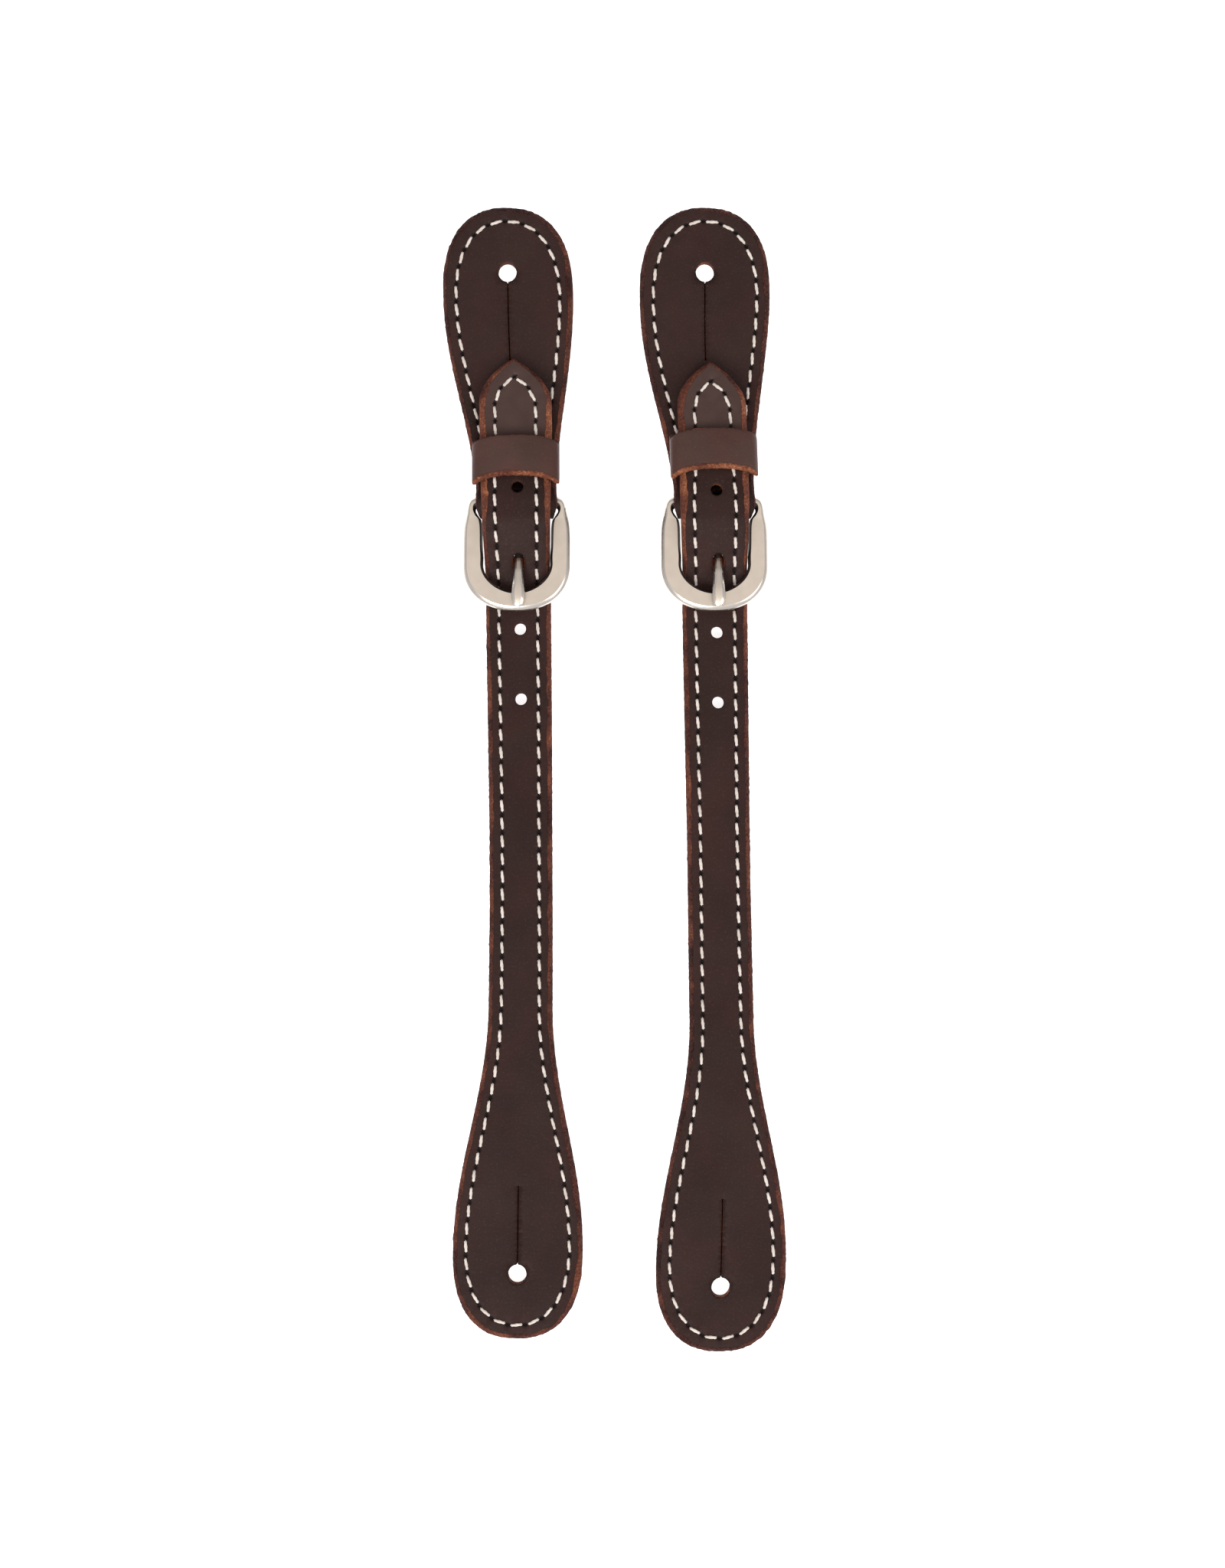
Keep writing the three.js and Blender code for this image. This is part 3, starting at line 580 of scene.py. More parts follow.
class BuckleStrap(Strap):
    """The short strap. Flat, its length carries on round the heel bar and back underneath."""

    def __init__(self, side):
        super().__init__(side)
        self.heel = hinge_at(side)
        self.prong_offset = prong_across(side) - self.heel.x
        self.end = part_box(f"{side}_buckle_strap")[1].y / MM
        self.top = monotone(STRAP_TOP)
        self.bend_radius = HEEL_RADIUS + GAP + FOLD_THICKNESS / 2
        self.bend_end = self.heel.y - math.pi * self.bend_radius
        self.flat_end = self.bend_end - (FOLD_END - self.heel.y)
        self.corner = 4.0
        straight = round((self.end - PADDLE_END_LENGTH - self.flat_end - self.corner) / EDGE_STEP)
        self.stations = [("end", i / self.END_STATIONS) for i in range(self.END_STATIONS)]
        self.stations += [("side", i / straight) for i in range(straight)]
        self.stations += [("back", 1 - i / 14) for i in range(15)]

    def lay(self, along):
        """Centred on the heel bar at the fold, and along the strap's own line further on."""
        aside = self.heel.x - self.strap_lay(self.heel.y)
        return self.strap_lay(along) + aside * (1 - smoothstep(self.heel.y, self.heel.y + 12, along))

    def half_width(self, station, inset):
        kind, share = station
        widest = self.end - PADDLE_END_LENGTH
        if kind == "end":
            along, half = round_end(PADDLE_END_LENGTH, PADDLE_HALF_WIDTH, PADDLE_ROUNDNESS, inset, share)
            return self.end - along, half
        if kind == "side":
            along = lerp(widest, self.flat_end + self.corner, share)
            paddle = taper((widest - along) / NECK_TAPER, PADDLE_HALF_WIDTH, NECK_HALF_WIDTH)
            fold = monotone(FOLD_HALF_WIDTHS)(along)
            return along, lerp(fold, paddle, smoothstep(self.heel.y, self.heel.y + 4, along)) - inset
        along, half = round_end(self.corner, FOLD_HALF_WIDTH, 5, inset, share)
        return self.flat_end + along, half

    def thickness(self, along):
        if along > self.heel.y:
            return lerp(FOLD_THICKNESS, STRAP_THICKNESS, clamp((along - self.heel.y) / (97 - self.heel.y), 0, 1))
        share = clamp((self.bend_end - 3 - along) / (self.bend_end - 3 - self.flat_end), 0, 1)
        return lerp(FOLD_THICKNESS, FOLD_END_THICKNESS, share)

    def button_hole(self):
        return self.end - BUTTON_HOLE_FROM_END, -1

    def place(self, across, along, through):
        across = self.slit_squeeze(across, along, through)
        thick = self.thickness(along)
        if along > self.heel.y:
            return Vector((self.lay(along) + across, along, self.top(along) - through * thick))
        if along > self.bend_end:
            angle = math.pi * (0.5 + (self.heel.y - along) / (self.heel.y - self.bend_end))
            radius = self.bend_radius + FOLD_THICKNESS * (0.5 - through)
            return Vector((self.lay(self.heel.y) + across, self.heel.y + radius * math.cos(angle),
                           self.heel.z + radius * math.sin(angle)))
        back = self.heel.y + self.bend_end - along
        return Vector((self.lay(back) + across, back, through * thick))

    def band(self, hand, along):
        outer = [(38, 0.8), (56, 0.6), (62, 0.25), (67, 0.25), (73, 1.0), (100, 1.1), (141, 1.1)]
        worn = [(38, 0.8), (56, 0.6), (62, 0.25), (67, 0.25), (73, 1.1), (100, 1.2), (125, 1.5), (141, 1.5)]
        return monotone(worn if hand == 1 else outer)(along)

    def orange(self, hand, along):
        at_end = (0.2 if hand == 1 else 0.05) if self.side == "left" else 0.0
        return monotone([(38, 0.2), (60, 0.0), (70, 0.05), (80, 0.3), (105, at_end), (141, at_end)])(along)

    def creasing(self, along):
        return 0.03

    def rawness(self, along):
        """The cut edge is darker where it turns round the heel bar."""
        at_end = 0.85 if self.side == "left" else 0.72
        return lerp(0.5, 1, smoothstep(66, 74, along)) * lerp(1, at_end, smoothstep(90, 115, along))

    def rubbing(self, along):
        return 0.12 * smoothstep(96, 106, along)

    def stitch_line(self):
        side = [self.edge(s, 1, end_stitch_inset(s)) for s in self.stations]
        side = [p for p in side if p.y > CROSS_STITCH_Y]
        mirrored = [Vector((-p.x, p.y)) for p in side[1:]]
        return list(reversed(side)) + mirrored

    def holes(self):
        slot_back = self.bend_end - (PRONG_SLOT_END - self.heel.y)
        middle = (PRONG_SLOT_END + slot_back) / 2
        half_length = (PRONG_SLOT_END - slot_back) / 2
        return [slot_hole(self.prong_offset, middle, half_length, PRONG_SLOT_HALF_WIDTH),
                keyhole(*self.button_hole())]


def circle(across, along, half_width, half_length=None, count=28):
    half_length = half_length or half_width
    angles = [2 * math.pi * i / count for i in range(count)]
    return [Vector((across + half_width * math.cos(a), along + half_length * math.sin(a))) for a in angles]


def slot_hole(across, middle, half_length, half_width):
    straight = half_length - half_width
    cap = [math.pi * i / 12 for i in range(13)]
    top = [Vector((half_width * math.cos(a), middle + straight + half_width * math.sin(a))) for a in cap]
    side = [Vector((-half_width, middle + straight - 2 * straight * i / 18)) for i in range(1, 18)]
    upper = top + side
    whole = upper + [Vector((-p.x, 2 * middle - p.y)) for p in upper]
    return [Vector((across + p.x, p.y)) for p in whole]


def keyhole(hole, direction):
    """Button hole with the slit that opens into it, anticlockwise; direction is where the slit runs."""
    half = math.asin(SLIT_HALF_WIDTH / BUTTON_HOLE_RADIUS)
    stop_half = math.asin(SLIT_HALF_WIDTH / SLIT_STOP_RADIUS)
    stop = hole + direction * SLIT_END_FROM_HOLE
    heading = direction * math.pi / 2
    turns = [lerp(half, 2 * math.pi - half, i / 30) for i in range(31)]
    points = [Vector((BUTTON_HOLE_RADIUS * math.cos(heading + a),
                      hole + BUTTON_HOLE_RADIUS * BUTTON_HOLE_STRETCH * math.sin(heading + a))) for a in turns]
    start, finish = points[-1].y, stop - direction * SLIT_STOP_RADIUS
    run = [lerp(start, finish, i / 24) for i in range(1, 25)]
    hand = SLIT_HALF_WIDTH * direction
    points += [Vector((hand, y)) for y in run]
    turns = [lerp(-math.pi + stop_half, math.pi - stop_half, i / 12) for i in range(13)]
    points += [Vector((SLIT_STOP_RADIUS * math.cos(heading + a), stop + SLIT_STOP_RADIUS * math.sin(heading + a)))
               for a in turns]
    points += [Vector((-hand, y)) for y in reversed(run)]
    return points


def needle_places(strap):
    """Where the needle went through: (point, direction along the stitch line)."""
    line = strap.stitch_line()
    length = sum((b - a).length for a, b in zip(line, line[1:] + line[:1]))
    return resample(line, round(length / STITCH_PITCH))


def spaced(candidates, taken, gap):
    """Candidates at least a gap away from each other and from the points already taken."""
    cells = {}

    def near(p):
        i, j = int(p.x // gap), int(p.y // gap)
        return any((p - q).length < gap for a in (i - 1, i, i + 1) for b in (j - 1, j, j + 1)
                   for q in cells.get((a, b), ()))

    def keep(p):
        cells.setdefault((int(p.x // gap), int(p.y // gap)), []).append(p)

    for p in taken:
        keep(p)
    kept = []
    for p in candidates:
        if not near(p):
            keep(p)
            kept.append(p)
    return kept


NEEDLE_RINGS = ((0.4, 0.13, 1.0), (0.72, 0.22, 0.9), (0.95, 0.44, 0.0))   # (half-length, half-width, pit depth and painted shade)


PIT_DEPTH = 0.55
GROOVE_DEPTH = 0.5                # on the underside, where the thread is pulled in flush
GROOVE_EDGE = 0.75


def leather_sheet(strap, needles):
    piece = Piece("raw", "orange", "flesh", "pit_and_shade", "rubbed")
    loop = strap.loop()
    rough_band = []
    for station, hand in loop:
        at = strap.edge(station, hand, 0)
        ragged = 1 + 0.32 * wobble((at.x, at.y, 0), 7, 1) + 0.22 * wobble((at.x, at.y, 0), 2.6, 3)
        ragged += 0.12 * wobble((at.x, at.y, 0), 0.9, 5)
        rough_band.append(strap.band(hand, at.y) * ragged)
    rim = [strap.edge(s, h, b) for (s, h), b in zip(loop, rough_band)]
    area = sum(a.x * b.y - b.x * a.y for a, b in zip(rim, rim[1:] + rim[:1]))
    if area < 0:
        loop, rough_band, rim = loop[::-1], rough_band[::-1], rim[::-1]
    holes = strap.holes()

    # Flat triangulation with needle holes, rims and an even grid inside.
    pits = []
    for at, along in needles:
        across = Vector((-along.y, along.x))
        pits.append((at, 1.0))
        for half_length, half_width, pit_and_shade in NEEDLE_RINGS:
            for k in range(8):
                angle = math.pi * k / 4 + math.pi / 8
                pits.append((at + along * half_length * math.cos(angle) + across * half_width * math.sin(angle), pit_and_shade))
    fixed = rim + [p for hole in holes for p in hole]
    beside = []
    for at, along in resample(strap.stitch_line(), len(needles) * 4):
        across = Vector((-along.y, along.x))
        beside += [at + across * offset for offset in (-GROOVE_EDGE, 0.0, GROOVE_EDGE)]
    around = []
    for hole in holes:
        middle = sum(hole, Vector((0, 0))) / len(hole)
        for grow in (0.35, 0.8):
            around += [p + (p - middle).normalized() * grow for p in hole[::2]]
    low, high = min(p.y for p in rim), max(p.y for p in rim)
    rows = int((high - low) / (GRID_STEP * 0.866))
    grid = [Vector((GRID_STEP * (i + 0.5 * (r % 2)), low + r * GRID_STEP * 0.866))
            for r in range(rows + 1) for i in range(-12, 13)]
    kept = [p for p, _ in pits]
    on_line = spaced(beside[1::3], fixed + kept, 0.3)
    kept += on_line
    in_groove = len(kept)
    kept += spaced(around, fixed + kept, 0.3)
    kept += spaced(beside[0::3] + beside[2::3], fixed + kept, 0.35)
    kept += spaced(grid, fixed + kept, 0.95)
    pit_and_shade_of = [pit_and_shade for _, pit_and_shade in pits] + [0.0] * (len(kept) - len(pits))
    groove_of = [1.0] * in_groove + [0.0] * (len(kept) - in_groove)
    good = inside([tuple(p) for p in kept], [tuple(p) for p in rim])
    for hole in holes:
        good &= ~inside([tuple(p) for p in kept], [tuple(p) for p in hole])
    pit_and_shade_of = [0.0] * len(fixed) + [p for p, g in zip(pit_and_shade_of, good) if g]
    groove_of = [0.0] * len(fixed) + [p for p, g in zip(groove_of, good) if g]
    kept = [p for p, g in zip(kept, good) if g]

    edges, start = [], 0
    for ring in [rim] + holes:
        count = len(ring)
        edges += [(start + i, start + (i + 1) % count) for i in range(count)]
        start += count
    flat, _, triangles, origin, _, _ = delaunay_2d_cdt(fixed + kept, edges, [], 0, 1e-6, True)
    centres = [tuple(sum((flat[i] for i in t), Vector((0, 0))) / 3) for t in triangles]
    good = inside(centres, [tuple(p) for p in rim])
    for hole in holes:
        good &= ~inside(centres, [tuple(p) for p in hole])
    triangles = [t for t, g in zip(triangles, good) if g]

    def rim_dish(p):
        """The grain face dips a little towards each hole."""
        nearest = min(min((p - q).length for q in hole[::2]) for hole in holes)
        return 0.16 * math.exp(-nearest / 0.45) if nearest < 2.5 else 0.0

    def skin(underneath):
        ids = {}
        for i in sorted({i for t in triangles for i in t}):
            source = origin[i][0] if origin[i] else i
            p = flat[i]
            pit_and_shade = pit_and_shade_of[source]
            ripple = strap.creasing(p.y) * (wobble((p.x, p.y * 1.6, 0), 3.2, 11) + 0.6 * wobble((p.x, p.y, 0), 9, 2))
            sink = PIT_DEPTH * pit_and_shade + rim_dish(p) + 0.3 * ripple + abs(ripple) * 0.5
            shift = sink / strap.thickness(p.y)
            on_rim = source < len(rim)
            # the needle pit value both sinks the pit and paints shade into it through this channel
            values = {"pit_and_shade": pit_and_shade, "raw": 0.3 if on_rim else 0.0, "orange": strap.orange(1, p.y),
                      "rubbed": strap.rubbing(p.y)}
            if underneath:
                values = {"pit_and_shade": pit_and_shade * 0.8, "raw": 1.0 if on_rim else 0.0, "flesh": 0.0 if on_rim else 1.0,
                          "orange": strap.orange(1, p.y)}
            hollow = GROOVE_DEPTH * groove_of[source] + 0.3 * pit_and_shade + abs(ripple)
            through = 1 - hollow / strap.thickness(p.y) if underneath else shift
            ids[i] = piece.add(strap.place(p.x, p.y, through), **values)
        return ids

    by_source = {}
    for i, sources in enumerate(origin):
        for source in sources:
            by_source[source] = i
    top, bottom = skin(False), skin(True)
    for a, b, c in triangles:
        piece.face(top[a], top[b], top[c])
        piece.face(bottom[c], bottom[b], bottom[a])

    # Rough cut edge, rolled from the grain face to the underside.
    upper = [top[by_source[i]] for i in range(len(rim))]
    for share, through in EDGE_PROFILE:
        lower = []
        for (station, hand), width in zip(loop, rough_band):
            p = strap.edge(station, hand, width * share)
            fuzz = 0.17 * wobble((p.x, p.y, through * 3), 1.1, 7) + 0.16 * wobble((p.x, p.y, through * 3), 0.5, 9)
            fuzz *= lerp(0.25, 1, smoothstep(6, 9, abs(p.y - 58)))
            p = strap.edge(station, hand, width * share - fuzz * math.sin(math.pi * clamp(through + 0.15, 0, 1)))
            lift = 0.03 * wobble((p.x, p.y, through), 0.8, 13)
            lower.append(piece.add(strap.place(p.x, p.y, clamp(through + lift, 0, 1)),
                                   raw=clamp(0.45 + 2.2 * (1 - share), 0, 1) * strap.rawness(p.y),
                                   orange=clamp(strap.orange(hand, p.y) * (1 - 0.5 * through), 0, 1)))
        piece.band(upper, lower)
        upper = lower
    piece.band(upper, [bottom[by_source[i]] for i in range(len(rim))])

    # Walls of the punched holes.
    start = len(rim)
    for hole in holes:
        upper = [top[by_source[start + i]] for i in range(len(hole))]
        for through in WALL_LEVELS:
            lower = [piece.add(strap.place(p.x, p.y, through), raw=1.0, orange=0.75) for p in hole]
            piece.band(upper, lower, flip=True)
            upper = lower
        piece.band(upper, [bottom[by_source[start + i]] for i in range(len(hole))], flip=True)
        start += len(hole)
    return piece


# ---- Stitching ----------------------------------------------------------------------------------
def stitch_run(strap, needles, face_through, up, raised, round_steps, along_steps):
    """Separate twisted stitches from one needle hole to the next, on one face of the sheet."""
    piece = Piece()
    reach = STITCH_LENGTH / 2 + 0.12
    for k, (start, _) in enumerate(needles):
        end = needles[(k + 1) % len(needles)][0]
        flat = (end - start).normalized()
        flat.rotate(Matrix.Rotation(STITCH_SLANT, 2))
        middle = (start + end) / 2
        across = Vector((-flat.y, flat.x))
        thick = strap.thickness(middle.y)
        centre = strap.place(middle.x, middle.y, face_through)
        tip = strap.place(*(middle + flat * 0.5), face_through)
        side_point = strap.place(*(middle + across * 0.5), face_through)
        along_3d = (tip - centre).normalized()
        side_3d = (side_point - centre).normalized()
        out_3d = (strap.place(middle.x, middle.y, face_through - up * 0.1 / thick) - centre).normalized()
        length = reach * (1 + 0.06 * wobble(centre, 5, 21))
        width = STITCH_HALF_WIDTH * (1 + 0.1 * wobble(centre, 4, 23))
        rings = []
        for i in range(along_steps):
            s = -1 + 2 * i / (along_steps - 1)
            plump = (1 - abs(s) ** 5) ** 0.5 * 0.86 + 0.14
            height = lerp(raised, raised - 0.48, smoothstep(0.7, 1.0, abs(s)))
            ring = []
            for j in range(round_steps):
                angle = 2 * math.pi * j / round_steps
                ply = 1 + 0.14 * math.cos(2 * angle - s * 7)
                offset = side_3d * (width * plump * ply * math.cos(angle))
                offset += out_3d * (0.3 * plump * ply * math.sin(angle) + height)
                ring.append(piece.add(centre + along_3d * (s * length) + offset))
            rings.append(ring)
        for upper, lower in zip(rings, rings[1:]):
            piece.band(upper, lower)
        for cap in (rings[0], rings[-1]):
            piece.face(*cap)
    return piece


class Underside:
    """The buckle strap's underside: the folded-back ply near the buckle, then the strap itself."""

    def __init__(self, strap):
        self.strap = strap

    def thickness(self, along):
        return self.strap.thickness(along)

    def place(self, across, along, through):
        point = self.strap.place(across, along, 1)
        step = smoothstep(FOLD_END - 2, FOLD_END + 4, along)
        point.z = lerp(0.0, point.z, step) + (1 - through) * self.thickness(along)
        return point


# ---- Keeper -------------------------------------------------------------------------------------
KEEPER_ARCH = 2.0
KEEPER_SET = {"left": -0.4, "right": 0.55}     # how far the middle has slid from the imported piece
KEEPER_SECTION = [  # (along, through, raw): grain face, far edge, lining, near edge
    (-3.95, 0.0, 0.4), (-2.8, 0.0, 0.0), (-1.4, 0.0, 0.0), (0.0, 0.0, 0.0), (1.4, 0.0, 0.0), (2.8, 0.0, 0.0),
    (3.9, 0.0, 0.0), (4.55, 0.02, 0.15), (4.8, 0.1, 0.8), (4.95, 0.3, 1.0), (5.0, 0.55, 1.0), (4.95, 0.82, 1.0),
    (4.7, 0.98, 1.0), (3.4, 1.0, 0.9), (1.6, 1.0, 0.9), (0.0, 1.0, 0.9), (-1.6, 1.0, 0.9), (-3.4, 1.0, 0.9),
    (-4.7, 0.97, 1.0), (-4.93, 0.84, 1.0), (-5.0, 0.66, 1.0), (-4.98, 0.42, 1.0), (-4.88, 0.22, 1.0),
    (-4.72, 0.1, 0.9), (-4.5, 0.03, 0.62),
]


def rounded_rectangle(half_width, low, high, low_radius, high_radius, per_corner, per_side):
    """Closed path from the middle of the bottom, anticlockwise, with the same count for any size."""
    corners = [
        (half_width - low_radius, low + low_radius, low_radius, -90),
        (half_width - high_radius, high - high_radius, high_radius, 0),
        (high_radius - half_width, high - high_radius, high_radius, 90),
        (low_radius - half_width, low + low_radius, low_radius, 180),
    ]
    arcs = []
    for x, z, radius, first in corners:
        turns = [math.radians(first + 90 * i / per_corner) for i in range(per_corner + 1)]
        arcs.append([Vector((x + radius * math.cos(a), z + radius * math.sin(a))) for a in turns])
    path = []
    for arc, following in zip(arcs, arcs[1:] + arcs[:1]):
        path += arc
        path += [arc[-1].lerp(following[0], i / per_side) for i in range(1, per_side)]
    return path


def keeper(side, strap):
    piece = Piece("raw", "orange", "flesh", "pit_and_shade")
    low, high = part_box(f"{side}_keeper")
    middle = (low.y + high.y) / 2 / MM
    inner_top = KEEPER_RUN + BILLET_THICKNESS + 2 * GAP
    outer = rounded_rectangle(KEEPER_HALF_WIDTH, 0, inner_top + KEEPER_WALL, 1.4, 2.6, 9, 26)
    inner = rounded_rectangle(KEEPER_HALF_WIDTH - KEEPER_WALL, KEEPER_RUN, inner_top, 0.4, 0.9, 9, 26)
    seat = low.z / MM + KEEPER_LENGTH / 2 * math.sin(math.atan(KEEPER_SLOPE))
    turn = -math.atan((strap.lay(middle + 5) - strap.lay(middle - 5)) / 10)
    middle -= (inner_top + KEEPER_WALL) / 2 * math.sin(math.atan(KEEPER_SLOPE))
    pose = (Matrix.Translation((strap.lay(middle), middle, seat)) @ Matrix.Rotation(turn, 4, "Z")
            @ Matrix.Rotation(-math.atan(KEEPER_SLOPE), 4, "X"))
    rings = []
    for out_point, in_point in zip(outer, inner):
        ring = []
        for along, through, raw in KEEPER_SECTION:
            p = out_point.lerp(in_point, through)
            aside = abs(p.x) / KEEPER_HALF_WIDTH
            arch = KEEPER_SET[side] - KEEPER_ARCH * aside ** 2.6 * smoothstep(0.5, 4, p.y)
            rough = 0.2 * raw * (wobble((p.x, along, p.y), 0.9, 31) + 0.6 * wobble((p.x, along, p.y), 0.4, 33))
            crown = 0.22 * (1 - (2 * along / KEEPER_LENGTH) ** 2) * (1 - through) * smoothstep(3, 5, p.y)
            y = along * (1 + 0.03 * aside) + arch + rough
            point = pose @ Vector((p.x, y, p.y + crown + rough * 0.4))
            ring.append(piece.add(point, raw=raw, orange=0.85 if along < 0 else 0.3))
        rings.append(ring)
    for here, following in zip(rings, rings[1:] + rings[:1]):
        piece.band(here, following)
    return piece


# ---- Buckle -------------------------------------------------------------------------------------
FRAME_FRONT_CURVE = {"outer": (13.15, 11.5, 2.2), "inner": (8.7, 7.3, 1.9)}   # half-width, depth, power
FRAME_ARM_START = -15.4
ARM_STATIONS = [  # outer x, y, inner x, y, roundness: from the front curve to the middle of the heel bar
    (13.15, -13.5, 8.66, -13.5, 0.0), (13.15, -11.6, 8.78, -11.6, 0.0), (13.15, -9.7, 8.84, -9.7, 0.0),
    (13.1, -7.8, 8.86, -7.8, 0.0), (13.0, -6.0, 8.92, -6.1, 0.0), (12.82, -4.8, 9.08, -4.9, 0.0),
    (12.66, -4.0, 9.26, -4.2, 0.04), (12.55, -3.4, 9.48, -3.7, 0.3), (12.4, -2.5, 9.82, -3.0, 0.5),
    (12.27, -1.5, 10.1, -2.4, 0.62), (12.05, -0.5, 10.12, -1.9, 0.75), (11.65, 0.4, 9.98, -1.55, 0.88),
    (11.05, 1.05, 9.7, -1.42, 1.0), (10.3, 1.36, 9.2, -1.4, 1.0), (9.2, 1.4, 8.6, -1.4, 1.0),
    (6.0, 1.4, 6.0, -1.4, 1.0), (3.0, 1.4, 3.0, -1.4, 1.0), (0.0, 1.4, 0.0, -1.4, 1.0),
]
PLATE_SECTION = [  # (from the inside or the outside edge, height): inner wall, flat, bevel, outer wall
    ("in", -0.2, -1.2), ("in", -0.44, -1.0), ("in", -0.52, -0.55), ("in", -0.52, -0.05), ("in", -0.4, 0.45),
    ("in", -0.2, 0.84), ("in", 0.0, 1.06), ("in", 0.14, 1.2), ("out", 1.0, 1.2), ("out", 0.9, 1.15),
    ("out", 0.5, 0.86), ("out", 0.16, 0.5), ("out", 0.0, 0.05), ("out", 0.02, -0.6), ("out", 0.14, -1.0),
    ("out", 0.42, -1.2),
]
FLAT_FACE = 7                     # the section's edge that is the satin top of the plate
INNER_WALL = range(1, 7)          # the section's edges painted dark as shade on the inner wall
CREASE_ANGLE = math.radians(20)   # metal edges sharper than this stay crisp
FRONT_STATIONS = 26


def super_point(curve, share):
    half_width, depth, power = curve
    angle = share * math.pi / 2
    return Vector((half_width * math.sin(angle) ** (2 / power),
                   FRAME_ARM_START - depth * math.cos(angle) ** (2 / power)))


def smooth_list(rows, steps):
    """Catmull-Rom through rows of numbers."""
    rows = [np.array(r, float) for r in rows]
    out = []
    for i in range(len(rows) - 1):
        a, b, c, d = rows[max(0, i - 1)], rows[i], rows[i + 1], rows[min(len(rows) - 1, i + 2)]
        for k in range(steps):
            t = k / steps
            out.append(0.5 * (2 * b + (c - a) * t + (2 * a - 5 * b + 4 * c - d) * t * t
                              + (3 * b - a - 3 * c + d) * t ** 3))
    out.append(rows[-1])
    return out


def frame_stations():
    front = []
    for i in range(FRONT_STATIONS + 1):
        share = i / FRONT_STATIONS
        outer = super_point(FRAME_FRONT_CURVE["outer"], share)
        inner = super_point(FRAME_FRONT_CURVE["inner"], share)
        front.append((outer.x, outer.y, inner.x, inner.y, 0.0))
    half = front + smooth_list([front[-1]] + ARM_STATIONS, 3)[1:]
    mirrored = [(-a, b, -c, d, e) for a, b, c, d, e in reversed(half[1:-1])]
    return half + mirrored


def buckle_frame(heel):
    piece = Piece()
    pose = Matrix.Translation(heel) @ Matrix.Rotation(-FRAME_TILT, 4, "X")
    rings = []
    for ox, oy, ix, iy, roundness in frame_stations():
        outer, inner = Vector((ox, oy)), Vector((ix, iy))
        width = (outer - inner).length
        across = (outer - inner) / width
        narrow = min(1.0, width / 2.9)
        ring = []
        for k, (edge, offset, height) in enumerate(PLATE_SECTION):
            offset *= narrow
            plate = Vector((offset if edge == "in" else width - offset, height))
            angle = math.radians(258.75 - 22.5 * k)
            bar = Vector((width / 2 + width / 2 * math.cos(angle), HEEL_RADIUS * math.sin(angle)))
            section = plate.lerp(bar, roundness)
            flat = inner + across * section.x
            ring.append(piece.add(pose @ Vector((flat.x, flat.y, section.y))))
        rings.append(ring)
    for here, following in zip(rings, rings[1:] + rings[:1]):
        for k in range(len(here)):
            l = (k + 1) % len(here)
            # painted shade: the inner wall takes the dark steel
            finish = 0 if k == FLAT_FACE else 2 if k in INNER_WALL else 1
            piece.face(here[k], following[k], following[l], here[l], material=finish)
    return piece


PRONG_PATH = [  # along and height against the heel bar, half-width, half-height, facet half-width
    (-1.5, 1.62, 1.62, 0.52, 0.8), (-3.3, 1.25, 1.6, 0.62, 0.7), (-5.6, 0.94, 1.45, 0.8, 0.6),
    (-7.8, 0.8, 1.3, 0.86, 0.5), (-9.8, 0.74, 1.2, 0.84, 0.4), (-11.8, 0.92, 1.02, 0.8, 0.32),
    (-13.5, 1.34, 1.06, 0.8, 0.4), (-15.0, 2.02, 1.1, 0.86, 0.42), (-16.3, 2.68, 1.13, 0.92, 0.4),
    (-17.4, 3.28, 1.19, 0.95, 0.36), (-18.6, 3.75, 1.28, 0.95, 0.34), (-19.6, 4.15, 1.4, 0.94, 0.4),
    (-20.6, 4.52, 1.5, 0.92, 0.6), (-21.6, 4.82, 1.62, 0.91, 0.78), (-22.6, 5.03, 1.68, 0.88, 0.85),
    (-23.5, 5.17, 1.62, 0.82, 0.8), (-24.3, 5.26, 1.46, 0.7, 0.66), (-25.0, 5.32, 1.2, 0.54, 0.4),
    (-25.45, 5.34, 0.92, 0.4, 0.2), (-25.75, 5.35, 0.5, 0.22, 0.08),
]
PRONG_LOOP_RADIUS = 2.15
SHANK_END = -14.0                 # the shank and loop are painted dark as shade as far as the billet's hole
PRONG_LOOP_HALF_HEIGHT = 0.5
PRONG_SECTION = [(-0.5, -1.0), (0.5, -1.0), (0.82, -0.82), (0.98, -0.4), (1.0, 0.05), (0.9, 0.5), (0.66, 0.84)]


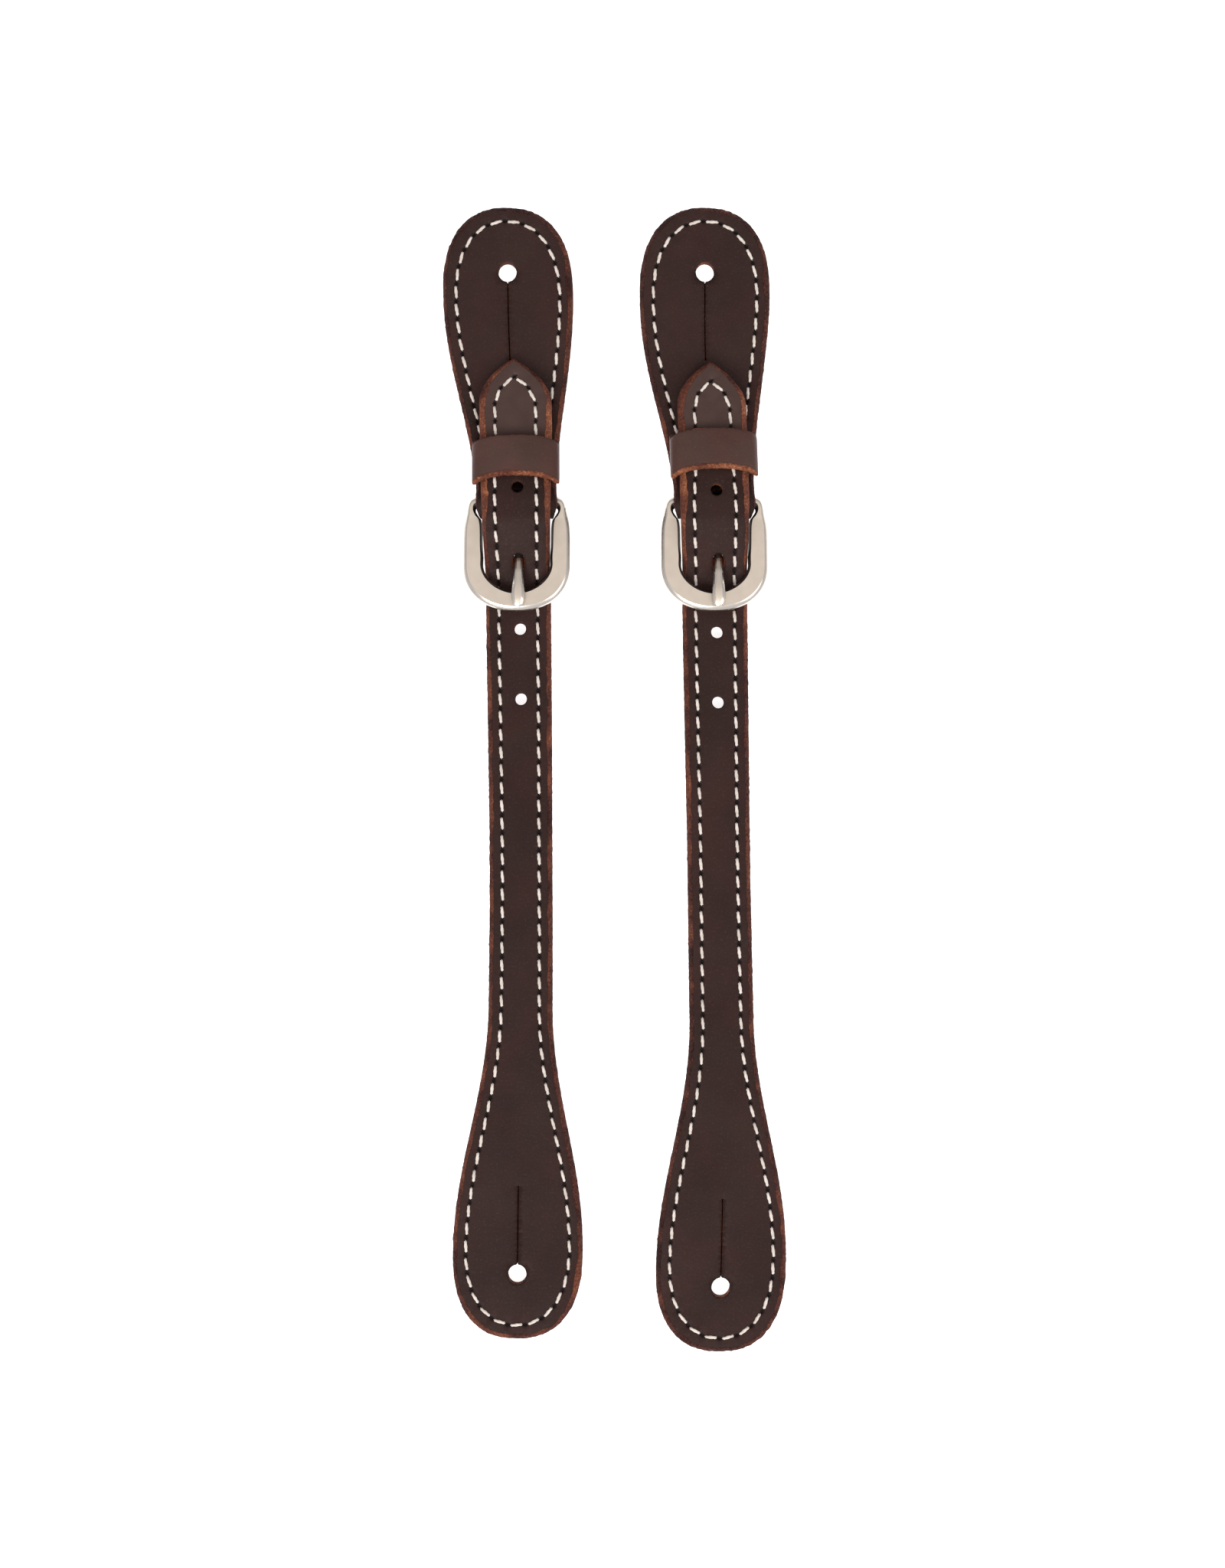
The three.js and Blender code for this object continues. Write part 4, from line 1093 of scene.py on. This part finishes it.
def prong(side, heel):
    piece = Piece()
    heel = Vector((prong_across(side), heel.y, heel.z))
    loop = []
    for i in range(22):
        angle = math.radians(lerp(-152, 118, i / 21))
        loop.append((PRONG_LOOP_RADIUS * math.cos(angle), PRONG_LOOP_RADIUS * math.sin(angle), 1.62,
                     PRONG_LOOP_HALF_HEIGHT, 0.9))
    path = loop + smooth_list(PRONG_PATH, 3)
    rings = []
    for i, (y, z, half_width, half_height, facet) in enumerate(path):
        before, after = path[max(0, i - 1)], path[min(len(path) - 1, i + 1)]
        along = Vector((0, after[0] - before[0], after[1] - before[1])).normalized()
        out = Vector((0, -along.z, along.y))
        if i >= len(loop):
            out = -out if out.z < 0 else out
        else:
            out = Vector((0, y, z)).normalized()
        right = [(u * half_width, n * half_height) for u, n in PRONG_SECTION]
        right.append((facet, half_height))
        section = right + [(-u, n) for u, n in reversed(right)]
        centre = heel + Vector((0, y, z))
        rings.append([piece.add(centre + Vector((u, 0, 0)) + out * n) for u, n in section])
    for (y, *_), here, following in zip(path, rings, rings[1:]):
        shank = y > SHANK_END
        for k in range(len(here)):
            l = (k + 1) % len(here)
            # painted shade: the shank and loop take the dark steel, standing in for the shade in and under the
            # billet's hole
            finish = 2 if shank else 0 if k == len(PRONG_SECTION) else 1
            piece.face(here[k], following[k], following[l], here[l], material=finish)
    for cap in (rings[0], rings[-1]):
        piece.face(*cap)
    return piece


# ---- Assembly -----------------------------------------------------------------------------------
for side in SIDES:
    heel = hinge_at(side)
    body = f"{side}_strap"
    for name, strap in (("billet", Billet(side)), ("buckle_strap", BuckleStrap(side))):
        node = f"{side}_{name}"
        needles = needle_places(strap)
        leather_sheet(strap, needles).build(f"{node}_leather", body, "strap_leather", [STRAP_LEATHER], [node])
        stitch_run(strap, needles, 0, 1, 0.08, 10, 11).build(
            f"{node}_needle_stitches", body, "thread", [THREAD], [f"{node}_needle_thread"])
        below = Underside(strap) if name == "buckle_strap" else strap
        stitch_run(below, needles, 1, -1, -0.3, 6, 7).build(
            f"{node}_bobbin_stitches", body, "thread", [THREAD], [f"{node}_bobbin_thread"])
        if name == "billet":
            keeper(side, strap).build(f"{side}_keeper_loop", body, "keeper_leather", [KEEPER_LEATHER],
                                      [f"{side}_keeper"])
    buckle_frame(heel).build(f"{side}_buckle_horseshoe", f"{side}_buckle", "satin_steel", [SATIN, POLISHED, PAINTED_SHADE_STEEL],
                             [f"{side}_buckle_frame"], CREASE_ANGLE)
    prong(side, heel).build(f"{side}_buckle_tongue", f"{side}_prong", "satin_steel", [SATIN, POLISHED, PAINTED_SHADE_STEEL],
                            [f"{side}_buckle_prong"], CREASE_ANGLE)


# ---- Studio -------------------------------------------------------------------------------------
CAMERA_HEIGHT = 0.55
CAMERA_LENS = 51.2
FLOOR_SIZE = 6.0
TENT_SIDES = 0.6
TENT_OVERHEAD = 0.35
TENT_NEAR_END = 0.15


def make_floor():
    mesh = bpy.data.meshes.new("studio_floor")
    half = FLOOR_SIZE / 2
    mesh.from_pydata([(-half, -half, 0), (half, -half, 0), (half, half, 0), (-half, half, 0)], [], [(0, 1, 2, 3)])
    floor = bpy.data.objects.new("studio_floor", mesh)
    floor.location.z = -0.06 * MM
    bpy.context.scene.collection.objects.link(floor)
    s = Shader("studio_floor", Specular_IOR_Level=0.1, Emission_Strength=0.75)
    s.bsdf.inputs["Emission Color"].default_value = (1, 1, 1, 1)
    mesh.materials.append(s.finish((0.9, 0.9, 0.9, 1), 0.9))


def area_light(name, location, size, watts):
    data = bpy.data.lights.new(name, "AREA")
    data.shape = "RECTANGLE"
    data.size, data.size_y = size
    data.energy = watts
    lamp = bpy.data.objects.new(name, data)
    lamp.location = location
    lamp.rotation_euler = (-Vector(location)).to_track_quat("-Z", "Y").to_euler()
    bpy.context.scene.collection.objects.link(lamp)


def shade_world(tree):
    """A white tent: brightest overhead and at the near end, dimmer at the sides and the far end."""
    background = tree.nodes["Background"]
    background.inputs["Color"].default_value = (1, 1, 1, 1)
    axes = tree.nodes.new("ShaderNodeSeparateXYZ")
    tree.links.new(tree.nodes.new("ShaderNodeTexCoord").outputs["Generated"], axes.inputs["Vector"])
    level = None
    for axis, scale in (("Z", TENT_OVERHEAD), ("Y", -TENT_NEAR_END)):
        node = tree.nodes.new("ShaderNodeMath")
        node.operation = "MULTIPLY_ADD"
        tree.links.new(axes.outputs[axis], node.inputs[0])
        node.inputs[1].default_value = scale
        if level is None:
            node.inputs[2].default_value = TENT_SIDES
        else:
            tree.links.new(level, node.inputs[2])
        level = node.outputs["Value"]
    tree.links.new(level, background.inputs["Strength"])


def make_studio():
    scene = bpy.context.scene
    make_floor()
    world = bpy.data.worlds.new("studio")
    world.use_nodes = True
    shade_world(world.node_tree)
    scene.world = world
    area_light("key", (-0.4, -0.75, 0.95), (0.7, 0.7), 10)
    area_light("fill", (0.7, -0.3, 0.8), (0.7, 0.7), 4)
    scene.view_settings.view_transform = "Standard"
    scene.view_settings.look = "None"
    camera = bpy.data.cameras.new("camera")
    camera.lens = CAMERA_LENS
    camera.clip_start = 0.01
    low, high = (Vector(c) for c in cad_bounds)
    eye = bpy.data.objects.new("camera", camera)
    eye.location = ((low.x + high.x) / 2 - 0.5 * MM, (low.y + high.y) / 2 - 1.04 * MM, CAMERA_HEIGHT)
    scene.collection.objects.link(eye)
    scene.camera = eye


make_studio()
